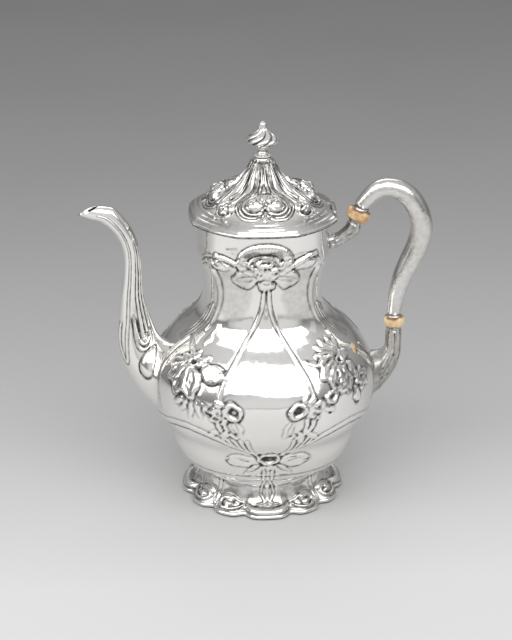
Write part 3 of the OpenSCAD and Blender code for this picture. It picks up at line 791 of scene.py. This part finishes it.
def foot_relief(turns, along):
    """Each face has two smooth sunk panels with a lyre between them, over a bold lobed moulding."""
    r = Relief(turns, along, along, np.interp(along, [0, along[-1]], FOOT_RADII), 90)
    lyre = [(1.6, 26.5), (4.4, 21.5), (5.6, 17), (4, 13), (2, 10.8), (4, 9.4), (9, 8.4)]
    curl = [(29, 10.6), (36, 10.4), (39, 7), (37, 3.4), (31, 2.4), (25, 3.6), (20, 5.4)]
    border = [(19, 7.6), (24, 9.6), (29, 12.4), (36, 12.6), (41, 10)]
    moulding = [(-19, 4.8), (-14, 3.9), (-7, 2.9), (0, 2.5), (7, 2.9), (14, 3.9), (19, 4.8)]
    r.bead([(0, 26), (0, 18), (0, 11.5)], 1.5, 0.5, groove=0.1)
    r.bead(moulding, 3.0, 1.5, groove=0.3)
    r.bead([(45, 2), (45, 8), (45, 16), (45, 27)], 1.6, 0.7, groove=0.25)
    both_sides(r.bead, lyre, 0.7, 0.9, groove=0.5, taper=0.2, stain=0.7)
    both_sides(r.bead, [(0.4, 12.6), (1.4, 9.8), (2.8, 8.6)], 0.5, 0.5, groove=0.3)
    both_sides(r.bead, curl, 1.9, 1.3, groove=0.35, taper=0.5, stain=0.4)
    both_sides(r.bead, border, 0.8, 0.8, taper=0.3, stain=0.5)
    both_sides(r.cut, [(17, 4), (19, 6.4), (22, 7)], 0.7, 0.7, taper=0.2, stain=1.0)
    for side in (-1, 1):
        r.boss((side * 32, 6.4), 3.8, 3.0, 2.1, groove=0.4)
        # Painted shade: the sunk panels darkened as their dim reflections
        r.shade((side * 24, 16), 11, 5.5, 0.46)
        r.shade((side * 10, 15), 3.6, 5, 0.46)
    # Painted shade at the foot of the lyre, in place of a bright reflection
    r.shade((0, 8), 13, 2.6, 0.62)
    # The whole foot is a little darker
    r.stain = np.maximum(r.stain, 0.2)
    r.height += (hill(along - 23.4, 1.4) - 0.35 * hill(along - 20.8, 0.6))[:, None]
    return r


def make_foot():
    profile, along = spaced(FOOT_STATIONS, FOOT_CELL)
    turns = even_turns(FOOT_COLUMNS)
    relief = foot_relief(turns, along)
    base = rings(profile[:, :1] - profile[:, 2:3] * lobes(turns)[None, :], profile[:, 1:2], turns)
    fade = end_fade(along, *FOOT_FADE)
    outer, inner = chased(base, relief, fade, WALL, FOOT_INNER_STEP, WIRE_TOP_Z, FOOT_TOP_Z)
    finish_piece(wall_piece("pot_foot", outer, inner, relief.stains()), "pot", "foot", SILVER)


def make_border_wire():
    """Rounded wire that follows the lobed edge, flat underneath."""
    turns = even_turns(FOOT_COLUMNS)
    bend = np.radians(np.linspace(-90, 90, WIRE_STEPS))
    round_r = WIRE_TOP_Z / 2
    inside = FOOT_R - WIRE_DEPTH
    out = np.concatenate([[inside], FOOT_R - round_r + round_r * np.cos(bend), [inside]])
    up = np.concatenate([[0], round_r + round_r * np.sin(bend), [WIRE_TOP_Z]])
    grid = rings(out[:, None] - lobes(turns)[None, :], up[:, None], turns)
    # Painted contact shadow along the wire's bottom, and a dark line where it meets the foot
    dark = 0.4 * hill(up - WIRE_TOP_Z, 0.5) + 1.2 * hill(up, 1.4)
    stain = np.broadcast_to(dark[:, None], grid.shape[:2])
    wire = make_mesh("foot_border_wire", grid, ring_faces(grid), stain)
    finish_piece(wire, "pot", "foot_wire", SILVER)


make_foot()
make_border_wire()


# ---- Lid ----

LID_CELL = 0.55
LID_COLUMNS = 600
LID_FADE = (1.5, 2)
LID_WALL = 1.0

# Thickness left at the top, where the finial's stud goes through
LID_CROWN = 1.5

# The chasing sits slightly turned on the lid, in degrees
LID_TURN = -1.5

# The brim's outline is this share of the way from round to eight-sided, up to a run in from the edge
BRIM_CORNER = 0.4
BRIM_REACH = 14
BRIM_FADE = 9

# [half width and height across a face, half width and height across a corner], from the edge up
LID_STATIONS = [
    [50.5, LID_Z, 52, LID_Z],
    [50.3, LID_Z + 2.2, 51.8, LID_Z + 2.2],
    [47, LID_Z + 5.3, 47.8, LID_Z + 5],
    [42, LID_Z + 8.7, 43.8, LID_Z + 8.2],
    [37.2, LID_Z + 11.6, 39.6, LID_Z + 11],
    [35, LID_Z + 15, 37, LID_Z + 13.8],
    [33.5, LID_Z + 18.2, 33.8, LID_Z + 15.6],
    [29.5, LID_Z + 20.4, 28.5, LID_Z + 17.4],
    [23, LID_Z + 22.2, 21.5, LID_Z + 20],
    [17, LID_Z + 25, 16, LID_Z + 24.4],
    [12, LID_Z + 30.6, 11.6, LID_Z + 30.2],
    [8.6, DOME_TOP_Z - 4.6, 8.4, DOME_TOP_Z - 4.7],
    [6, DOME_TOP_Z, 6, DOME_TOP_Z],
]


def add_palmette(r):
    """Heart-shaped palmette in the middle of each face: two smooth domes under a fan, and a trefoil below."""
    for turn in (-16, -8, 0, 8, 16):
        r.petal((turn * 0.45, 26), 90 - turn * 2.6, 9.4 - 0.16 * abs(turn), 2.7, 2.2, blunt=1.4, groove=0.4)
    for side in (-1, 1):
        r.boss((side * 11.6, 24.4), 6.4, 4.0, 1.5, lean=12 * side, groove=0.4)
        r.boss((side * 14.5, 24.8), 3.2, 2.4, 0.6, groove=0.3)
    heart = [(0.2, 24), (5, 20.4), (12.5, 19.2), (20.5, 20.8), (25.4, 25.2), (25, 30), (20.4, 33.6),
             (11, 35.4), (1, 36)]
    both_sides(r.bead, heart, 0.8, 0.9, stain=0.8)
    r.petal((0, 20.4), -90, 9, 2.0, 1.2)
    for side in (-1, 1):
        r.petal((side * 0.5, 20.4), -90 + side * 44, 9, 1.8, 1.1)
        # Painted shade in small spots beside the trefoil
        r.shade((side * 3.2, 18.4), 0.9, 1.3, 0.9)


def add_swept_ribs(r):
    """Ribs that hug the heart and sweep up beside it to the finial, and a pointed leaf between them."""
    for k in range(2):
        rib = [(3 + 3 * k, 18 - 2 * k), (11, 16.6 - 2 * k), (20 + 1.2 * k, 17.6 - 1.8 * k),
               (28 + 2.2 * k, 22.6 - k), (28.6 + 2.6 * k, 28), (24.6 + 3 * k, 33.6),
               (18.6 + 3.2 * k, 38.6), (15 + 4.4 * k, 44), (14 + 6 * k, 50), (15 + 7 * k, 60)]
        # Painted shade along the grooves beside the ribs
        both_sides(r.bead, rib, 0.75, 0.8, groove=0.45, taper=0.1, stain=0.9)
    r.petal((0, 37), 90, 10, 2.6, 1.5, groove=0.5)
    both_sides(r.bead, [(8, 37), (8, 42), (5, 48), (5.5, 60)], 0.9, 0.8, groove=0.5, stain=0.9)
    r.cut([(0, 47), (0, 53), (0, 61)], 0.5, 0.5, taper=0, stain=0.7)


def add_corner_panels(r):
    """A smooth bulging panel on each side of a corner line, down to a round boss within a ring."""
    panel = [(6.5, 24), (8.5, 28), (11.5, 33), (13.5, 38), (13.5, 44), (11.5, 52), (10.5, 60)]
    ring = [(8.4 * math.sin(a), 19.4 + 5.0 * math.cos(a)) for a in np.radians(range(0, 361, 30))]
    both_sides(r.bead, panel, 5.0, 1.5, groove=0.3, taper=0.7)
    for off in (0, 4.2):
        fold = [(off, 26 + off), (off, 36), (off * 1.2, 48), (off * 1.6, 60)]
        both_sides(r.bead, fold, 0.5, 0.5, stain=0.9)
    r.bead(ring, 0.7, 0.6, groove=0.3)
    r.boss((0, 19.4), 3.6, 3.4, 2.1, groove=0.4)
    for side in (-1, 1):
        r.petal((side * 3, 14.5), -90 + side * 48, 8, 1.9, 0.9)


def lid_relief(turns, along, radii):
    """Panels on the corners, ribs and a palmette on the faces, and a streaked brim with painted shade,
    deepest at its corners, and a painted shadow along its lower edge.
    """
    r = Relief(turns - LID_TURN - 45, along, along, radii, 90)
    add_corner_panels(r)
    r.turns = turns - LID_TURN
    add_swept_ribs(r)
    add_palmette(r)
    s = along[:, None]
    brim = hill(s - 9, 7)
    streaks = np.sin(2 * np.pi * s / 3.6 + 1.5 * np.sin(np.radians(3 * turns)))
    r.height += 0.3 * hill(s - 6.4, 1.6) - 0.25 * hill(s - 3.4, 0.6)
    r.height += 0.3 * streaks * brim * (0.6 + 0.4 * np.sin(np.radians(7 * turns)))
    # Painted shade on the brim, deepest at the corners, and a painted shadow along the lid's lower edge
    for stain in ((0.2 + 0.42 * hill(face_off(turns) - 45, 20)) * brim, 0.9 * hill(s - 0.5, 0.9)):
        r.stain = np.maximum(r.stain, stain)
    return r


# The notch for the hinge: how far in it reaches, half its width and its top
HINGE_CLEARANCE = 0.3
NOTCH_X = 45.5
NOTCH_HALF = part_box("hinge_pin")[1][1] / MM + HINGE_CLEARANCE
NOTCH_TOP_Z = LID_Z + 8


def cut_hinge_notch(grid, x_limit):
    """Pushes the lid's edge back where the hinge's knuckles and the pin's ends are."""
    inside = (np.abs(grid[..., 1]) < NOTCH_HALF) & (grid[..., 2] < NOTCH_TOP_Z) & (grid[..., 0] > x_limit)
    grid[..., 0] = np.where(inside, x_limit, grid[..., 0])


def brim_corners(turns, along):
    """How much further the brim's eight soft corners reach than its flats, as a share of the radius."""
    off = np.radians(wrapped(turns, 45))
    return BRIM_CORNER * (1 / np.cos(off) - 1) * smooth_step((BRIM_REACH - along) / BRIM_FADE)[:, None]


def make_lid():
    profile, along = spaced(LID_STATIONS, LID_CELL)
    turns = even_turns(LID_COLUMNS)
    relief = lid_relief(turns, along, profile[:, 0])
    face, corner = profile[:, None, :2], profile[:, None, 2:]
    share = np.sin(np.radians(2 * turns))[None, :, None]**2
    radius, level = np.moveaxis(face + (corner - face) * share, 2, 0)
    base = rings(radius * (1 + brim_corners(turns, along)), level, turns)
    fade = end_fade(along, *LID_FADE)
    outer, inner = chased(base, relief, fade, LID_WALL, INNER_ROW_STEP, LID_Z, DOME_TOP_Z - LID_CROWN)
    cut_hinge_notch(outer, NOTCH_X)
    cut_hinge_notch(inner, NOTCH_X - LID_WALL)
    finish_piece(wall_piece("lid_dome", outer, inner, relief.stains()), "lid", "lid_shell", SILVER)


make_lid()


# ---- Spout, sockets and grip: tubes along ribs ----

# How deep a root sinks into the body, and how early it bends towards it as a share of the way
ROOT_SINK = 0.5
FLARE_BEND = 0.52
TUBE_INNER_STEP = 4


def rib_rings(ribs, sides, thinner=0.0):
    """Rings from ribs [x and z of the outer point, x and z of the inner point, half width across]."""
    q = np.asarray(ribs, float)
    around = np.radians(even_turns(sides))
    middle = (q[:, :2] + q[:, 2:4]) / 2
    v = (q[:, 2:4] - q[:, :2]) / 2
    v = v * (1 - thinner / np.linalg.norm(v, axis=1))[:, None]
    x = middle[:, :1] + v[:, :1] * np.cos(around)
    z = middle[:, 1:] + v[:, 1:] * np.cos(around)
    y = (q[:, 4:5] - thinner) * np.sin(around)
    return np.stack([x, y, z], -1)


def root_ring(turn, z, half_turn, half_height, sides, thinner):
    """Outline on the body's surface where a tube spreads onto it."""
    around = np.radians(even_turns(sides))
    side = -1 if turn > 90 else 1
    at = turn + side * (half_turn - thinner) * np.sin(around)
    level = z + (half_height - thinner) * np.cos(around)
    return rings(body_radius(at, level) - ROOT_SINK, level, at)


def branch_rings(ribs, root, sides, steps, thinner=0.0):
    """Rings from a tube's free end to its root, spreading on quadratic curves after the last rib."""
    tube = rib_rings(smoothed(ribs, steps), sides, thinner)
    last, ahead = tube[-1], tube[-1] - tube[-2]
    base = root_ring(*root, sides, thinner)
    reach = np.linalg.norm(base - last, axis=1, keepdims=True)
    bend = last + ahead / np.linalg.norm(ahead, axis=1, keepdims=True) * reach * FLARE_BEND
    count = max(4, round(float(reach.max()) / CELL))
    u = (np.arange(1, count + 1) / count)[:, None, None]
    return np.concatenate([tube, (1 - u)**2 * last + 2 * u * (1 - u) * bend + u**2 * base])


def tube_piece(name, outer, inner, add_relief, ends=1.5):
    """Closed tube wall from rings given from the free end to the root, with relief on its outside.

    In the relief, a turn of 0 is the side of the ribs' inner points, and a level is a run from the root.
    """
    outer, inner = outer[::-1], inner[::-1]
    centre = outer.mean(axis=1)
    run = run_lengths(centre)
    size = np.linalg.norm(outer - centre[:, None], axis=2).mean(axis=1)
    r = Relief(even_turns(outer.shape[1]), run, run, size, 360)
    add_relief(r)
    height = blurred(r.height) * end_fade(run, ends, ends)
    # Oxide in hollows, painted shade under raised work, and the darkening the relief draws
    stain = np.maximum(crevices(height, depth=0.24), r.stain)
    outer = outer + normals_of(outer) * height[..., None]
    return wall_piece(name, outer, inner[::TUBE_INNER_STEP], stain)


def make_branch(name, node, ribs, root, sides, steps, wall, add_relief, material):
    """Hollow tube that spreads onto the body at its root."""
    outer = branch_rings(ribs, root, sides, steps)
    inner = branch_rings(ribs, root, sides, steps, wall)
    finish_piece(tube_piece(name, outer, inner, add_relief), "pot", node, material)


SPOUT_SIDES = 120
SPOUT_STEPS = 14

# From the bevelled lip back to where the neck starts to spread
SPOUT_RIBS = [
    [-125.5, 209.3, -112, 215.4, 4.8],
    [-118, 206.4, -106.5, 215, 5.3],
    [-109.5, 203.4, -99.8, 212.4, 5.5],
    [-100.6, 194.5, -90.6, 200.5, 5.5],
    [-96, 182, -85.1, 185.8, 5.6],
    [-96.4, 165.5, -83.6, 168, 6.2],
    [-98.8, 148.5, -82.2, 148.5, 7.8],
    [-101.2, 127.6, -75.5, 125.5, 11],
]

# Turn and level of a root's middle, and how far it spreads to each side, in degrees, and up and down
SPOUT_ROOT = (180, 89, 21, 26)
UPPER_ROOT = (0, 185.5, 9, 6.5)
LOWER_ROOT = (0, 84, 12, 17.5)


def add_spout_relief(r):
    """Reeds down the inner side, a long sheath line, a double scroll and an egg-shaped boss at the root."""
    for k in range(3):
        reed = [(40 + 15 * k, 46 - 4 * k), (30 + 17 * k, 66), (23 + 18 * k, 86), (20 + 18 * k, 104)]
        both_sides(r.bead, reed, 1.2, 0.9, taper=0.9, stain=0.6)
    sheath = [(148, 46), (151, 33), (136, 26), (119, 42), (108, 66), (103, 95), (98, 135)]
    both_sides(r.bead, sheath, 0.9, 0.8, groove=0.45, taper=0.7, stain=0.5)
    for side in (-1, 1):
        r.boss((side * 74, 17), 10.5, 8, 2.6, groove=0.3, steady=True)
    for grow in (0, 4):
        scroll = [(90 + grow, 50), (86 + grow, 36 - grow), (70, 31 - grow), (52 - grow, 34 - grow),
                  (46 - grow, 42)]
        both_sides(r.bead, scroll, 0.9, 0.9, groove=0.45, stain=0.5)


make_branch(
    "spout_neck", "spout", SPOUT_RIBS, SPOUT_ROOT, SPOUT_SIDES, SPOUT_STEPS, WALL, add_spout_relief, SILVER
)

# Middles of the ivory rings at the handle's ends: x, z and lean from vertical towards +X, in degrees
UPPER_RING = (66, 204.8, 22)
LOWER_RING = (93, 124.7, 0)
UPPER_RING_R, UPPER_RING_H = 8.1, 8.0
LOWER_RING_R, LOWER_RING_H = 7.4, 7.4
SOCKET_WALL = 1.3
SOCKET_SIDES = 96
SOCKET_STEPS = 10
REEDS = 8


def on_axis(ring, up):
    """Point on a ring's axis, `up` from the ring's middle, and the axis's direction."""
    s, c = math.sin(math.radians(ring[2])), math.cos(math.radians(ring[2]))
    return ring[0] + up * s, ring[1] + up * c, s, c


def ring_rib(ring, up, r):
    """Rib square to a ring's axis."""
    x, z, s, c = on_axis(ring, up)
    return [x + r * c, z - r * s, x - r * c, z + r * s, r]


UPPER_SOCKET_RIBS = [
    ring_rib(UPPER_RING, -UPPER_RING_H / 2, 4.8),
    ring_rib(UPPER_RING, -UPPER_RING_H / 2 - 3, 4.8),
    [66, 191, 57.6, 196.6, 4.8],
    [58.2, 185.4, 52.5, 192.2, 4.6],
]
LOWER_SOCKET_RIBS = [
    ring_rib(LOWER_RING, -LOWER_RING_H / 2, 5.2),
    ring_rib(LOWER_RING, -LOWER_RING_H / 2 - 7, 5.2),
    [98.3, 106, 87.6, 108, 5.8],
]


def add_reeds(r, root_fade, collar):
    """Lengthwise reeds that fade out onto the body, and a rolled collar near the free end."""
    run = r.along[:, None]
    wave = np.abs(np.sin(np.radians(REEDS * r.turns / 2)))[None, :]
    grow = end_fade(r.along, root_fade, 2)
    r.stain = np.maximum(r.stain, 0.9 * smooth_step((0.35 - wave) / 0.35) * grow)
    r.height += 0.9 * (wave - 0.6) * grow + 0.9 * hill(run - run[-1] + collar, 0.9)


def add_upper_socket_relief(r):
    add_reeds(r, 6, 2.2)
    for turn in (-90, 0, 90):
        r.petal((turn, 3), 90, 14, 3.0, 1.3)
        r.boss((turn, 3.4), 2.4, 2.4, 1.2)


def add_lower_socket_relief(r):
    add_reeds(r, 12, 2.0)
    for turn in (-130, -90, 90, 130):
        r.petal((turn, 24), -90, 20, 3.6, 1.4)


for name, node, ribs, root, add_relief in (
    ("handle_socket_upper", "upper_socket", UPPER_SOCKET_RIBS, UPPER_ROOT, add_upper_socket_relief),
    ("handle_socket_lower", "lower_socket", LOWER_SOCKET_RIBS, LOWER_ROOT, add_lower_socket_relief),
):
    make_branch(name, node, ribs, root, SOCKET_SIDES, SOCKET_STEPS, SOCKET_WALL, add_relief, AGED_SILVER)

GRIP_END_R = 5.2
GRIP_WALL = 1.0
GRIP_SIDES = 64
GRIP_STEPS = 12

# How far the grip runs straight on from an ivory ring
GRIP_STRAIGHT = 4

# [x, z, radius] down the middle of the grip, between the two ivory rings
GRIP_STATIONS = [
    [77.2, 220.8, 6.2],
    [84.2, 223.5, 6.6],
    [91.5, 222.4, 7.1],
    [98.3, 218.5, 7.5],
    [103.9, 212.3, 7.7],
    [108.4, 202.8, 7.9],
    [110.2, 192, 7.9],
    [107.6, 180.2, 7.8],
    [102.5, 168.5, 7.5],
    [98, 158, 6.9],
    [95.2, 147.7, 6.2],
    [93.6, 138.5, 5.6],
]


def add_grip_relief(r):
    """Soft planes, lengthwise hammer marks of a hand-raised tube, and a rolled collar at each end."""
    a = np.radians(r.turns)[None, :]
    s = r.along[:, None]
    r.height += 0.10 * np.cos(2 * a + s / 60) + 0.05 * np.cos(3 * a - s / 23)
    r.height += 0.06 * np.sin(9 * a + 1.8 * np.sin(s / 5)) * np.sin(s / 3.1 + 2 * a)
    for end in (1.6, r.along[-1] - 1.6):
        r.height += 0.7 * hill(s - end, 0.8)
        r.stain = np.maximum(r.stain, 0.28 + 0.5 * hill(s - end, 0.5))


def make_grip():
    upper = [[*on_axis(UPPER_RING, UPPER_RING_H / 2 + up)[:2], GRIP_END_R] for up in (0, GRIP_STRAIGHT)]
    lower = [[*on_axis(LOWER_RING, LOWER_RING_H / 2 + up)[:2], GRIP_END_R] for up in (GRIP_STRAIGHT, 0)]
    p = smoothed([*upper, *GRIP_STATIONS, *lower], GRIP_STEPS)
    middle, r = p[:, :2], p[:, 2:3]
    d = np.gradient(middle, axis=0)
    u = d / np.linalg.norm(d, axis=1, keepdims=True)
    side = np.column_stack([-u[:, 1], u[:, 0]])
    ribs = np.column_stack([middle + side * r, middle - side * r, r])
    outer = rib_rings(ribs, GRIP_SIDES)
    inner = rib_rings(ribs, GRIP_SIDES, GRIP_WALL)
    grip = tube_piece("handle_tube", outer, inner, add_grip_relief, ends=0.5)
    finish_piece(grip, "pot", "handle_grip", GRIP_SILVER)


make_grip()


# ---- Ivory rings ----

RING_SIDES = 96
RING_STEPS = 25
RING_EDGE = 2.4
RING_BORE_R = 3


def make_insulator(name, node, ring, r, h):
    """Cushion-shaped ring, square to its leaning axis, whose edges have gone brown with handling."""
    bend = np.radians(np.linspace(-90, 90, RING_STEPS))
    out = np.concatenate([[RING_BORE_R], r - RING_EDGE + RING_EDGE * np.cos(bend), [RING_BORE_R]])
    up = np.concatenate([[-h / 2], RING_EDGE * np.sin(bend) + np.sign(bend) * (h / 2 - RING_EDGE), [h / 2]])
    turns = even_turns(RING_SIDES)
    x, y, z = np.moveaxis(rings(out[:, None] * np.ones(RING_SIDES), up[:, None], turns), 2, 0)
    middle_x, middle_z, s, c = on_axis(ring, 0)
    grid = np.stack([middle_x + x * c + z * s, y, middle_z - x * s + z * c], -1)
    around = np.radians(turns)
    worn_edge = 1.5 + 0.5 * np.sin(3 * around + h) + 0.3 * np.sin(7 * around)
    stain = 0.85 * smooth_step((np.abs(up)[:, None] - h / 2 + worn_edge) / 1.5)
    finish_piece(make_mesh(name, grid, ring_faces(grid), stain), "pot", node, IVORY)


make_insulator("ivory_ring_upper", "upper_insulator", UPPER_RING, UPPER_RING_R, UPPER_RING_H)
make_insulator("ivory_ring_lower", "lower_insulator", LOWER_RING, LOWER_RING_R, LOWER_RING_H)


# ---- Finial ----

FINIAL_CELL = 0.3
FINIAL_SIDES = 192
FINIAL_FLUTES = 8

# How far the flutes turn as they rise, in degrees for each millimetre
SWIRL = 9

# [radius, height above the collar, depth of the swirled flutes]
FINIAL_STATIONS = [
    [4.2, 0, 0],
    [3.2, 1.4, 0],
    [3.2, 2.8, 0],
    [4.6, 4.2, 0.3],
    [8, 6, 1.0],
    [10.7, 8.2, 1.5],
    [11, 10.2, 1.6],
    [9, 12.4, 1.4],
    [5.6, 14.6, 0.9],
    [3.4, 16.6, 0.5],
    [2.8, 18.8, 0.4],
    [2.4, 20.8, 0.2],
    [0.7, FINIAL_TOP_Z - COLLAR_TOP_Z, 0],
]


def make_finial():
    profile, _ = spaced(FINIAL_STATIONS, FINIAL_CELL)
    radius, up, depth = profile.T[:, :, None]
    turns = even_turns(FINIAL_SIDES)
    flute = 1 - np.abs(np.cos(np.radians(FINIAL_FLUTES * (turns - SWIRL * up)) / 2))**0.8
    grid = rings(radius - depth * flute, up + COLLAR_TOP_Z, turns)
    stain = np.clip(depth * (flute - 0.35) * 1.7, 0, 1) + 0.7 * hill(up - 2.2, 1.2)
    points = np.vstack([grid.reshape(-1, 3), [[0, 0, COLLAR_TOP_Z], [0, 0, FINIAL_TOP_Z]]])
    bottom, top = len(points) - 2, len(points) - 1
    last_ring = bottom - FINIAL_SIDES
    caps = []
    for i in range(0, FINIAL_SIDES, 2):
        j, k = i + 1, (i + 2) % FINIAL_SIDES
        caps.append([bottom, k, j, i])
        caps.append([top, last_ring + i, last_ring + j, last_ring + k])
    faces = np.vstack([ring_faces(grid, looped=False), caps])
    knob = make_mesh("finial_knop", points, faces, np.concatenate([stain.ravel(), [0, 0]]))
    finish_piece(knob, "lid", "finial", SILVER)


make_finial()


# ---- Carried-over CAD nodes ----

for name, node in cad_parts.items():
    material = PLAIN_SILVER
    if "insulator" in name:
        material = IVORY
    elif "hinge" in name:
        material = AGED_SILVER
    elif name in ("finial_stud", "finial_washer", "finial_nut"):
        material = DULL_SILVER
    node.data.materials.clear()
    node.data.materials.append(material)


# ---- Floor, light and camera ----

# Half the floor's width
FLOOR_HALF = 8000
# Floor colour in front of the pot and far behind it; the fade between them is painted falloff of the light
FLOOR_PALE = (0.64, 0.64, 0.64, 1)
FLOOR_GREY = (0.175, 0.175, 0.175, 1)

# Where the painted falloff of light on the floor starts and how far it reaches, in metres
FLOOR_PALE_Y = -0.14
FLOOR_FADE = 0.56


def floor_inputs(n):
    """Pale floor whose colour fades to grey behind the pot: painted falloff of the softboxes' light."""
    behind = n.maths("MAXIMUM", n.maths("SUBTRACT", n.split()["Y"], FLOOR_PALE_Y), 0.0)
    painted_light_falloff = n.maths("POWER", math.e, n.maths("MULTIPLY", behind, -1 / FLOOR_FADE))
    mottle = n.noise(3, 3)
    tone = n.mix(painted_light_falloff, FLOOR_GREY, FLOOR_PALE)
    return {
        "Base Color": n.mix(n.spread(mottle, 0.3, 0.7, 0, 0.02), tone, (1, 1, 1, 1)),
        "Roughness": n.spread(mottle, 0.3, 0.7, 0.55, 0.7),
    }


def make_floor():
    corners = np.array([[-1, -1, 0], [1, -1, 0], [1, 1, 0], [-1, 1, 0]]) * FLOOR_HALF
    floor = make_mesh("studio_floor", corners, np.array([[0, 1, 2, 3]]), np.zeros(4))
    floor.data.materials.append(new_material("pale_floor", floor_inputs))


# Brightness of the studio at eye level to the sides, straight ahead of the pot's front, and overhead
SIDE_GREY, FRONT_GREY, TOP_GREY = 0.24, 0.72, 0.66

# Where the pale front wall starts and where it is fully pale, as the Y of a direction of length 1
WALL_EDGE = (-0.45, -0.95)


def make_world():
    """Grey room with a pale wall in front of the pot and a pale ceiling."""
    world = bpy.data.worlds.new("studio")
    bpy.context.scene.world = world
    n = Nodes(world, "Generated")
    way = n.split()
    ceiling = n.spread(way["Z"], 0, 1, SIDE_GREY, TOP_GREY, interpolation_type="SMOOTHSTEP")
    wall = n.spread(way["Y"], *WALL_EDGE, 0, FRONT_GREY, interpolation_type="SMOOTHSTEP")
    n.feed(n.tree.nodes["Background"], {"Color": n.maths("MAXIMUM", ceiling, wall)})


POT_MIDDLE = Vector((0, 0, 0.13))

# Name, place, width and height in metres, and watts
SOFTBOXES = [
    ("key", (-0.1, -1.12, 1.55), 4.2, 1.35, 38),
    ("right", (1.55, -0.35, 0.75), 0.5, 1.0, 0.3),
    ("left", (-1.5, -0.5, 0.9), 0.5, 1.1, 3.0),
    ("back", (0.1, 1.3, 1.5), 1.6, 0.5, 4),
]


def soft_light(name, place, width, height, watts):
    """Rectangular softbox at a place in metres, turned towards the pot."""
    light = bpy.data.lights.new(name, "AREA")
    light.shape = "RECTANGLE"
    light.size = width
    light.size_y = height
    light.energy = watts
    holder = bpy.data.objects.new(name, light)
    bpy.context.scene.collection.objects.link(holder)
    holder.location = place
    holder.rotation_euler = (holder.location - POT_MIDDLE).to_track_quat("Z", "Y").to_euler()


# How far the camera is turned about the pot, where it stands in metres, how it tips and its lens
CAMERA_TURN = math.radians(-4.3)
CAMERA_DISTANCE = 1.190
CAMERA_HEIGHT = 0.633
CAMERA_PITCH = math.radians(23)
CAMERA_SIDESTEP = -0.00441
CAMERA_LENS = 103.76


def make_camera():
    """Long lens a little to the left of the pot's front, looking down on it."""
    camera = bpy.data.cameras.new("camera")
    camera.lens = CAMERA_LENS
    camera.sensor_width = 36
    camera.clip_end = 50
    holder = bpy.data.objects.new("camera", camera)
    bpy.context.scene.collection.objects.link(holder)
    s, c = math.sin(CAMERA_TURN), math.cos(CAMERA_TURN)
    holder.location = (
        s * CAMERA_DISTANCE + c * CAMERA_SIDESTEP,
        -c * CAMERA_DISTANCE + s * CAMERA_SIDESTEP,
        CAMERA_HEIGHT,
    )
    holder.rotation_euler = (math.pi / 2 - CAMERA_PITCH, 0, CAMERA_TURN)
    bpy.context.scene.camera = holder


make_floor()
make_world()
for softbox in SOFTBOXES:
    soft_light(*softbox)
make_camera()
bpy.context.scene.view_settings.view_transform = "Standard"
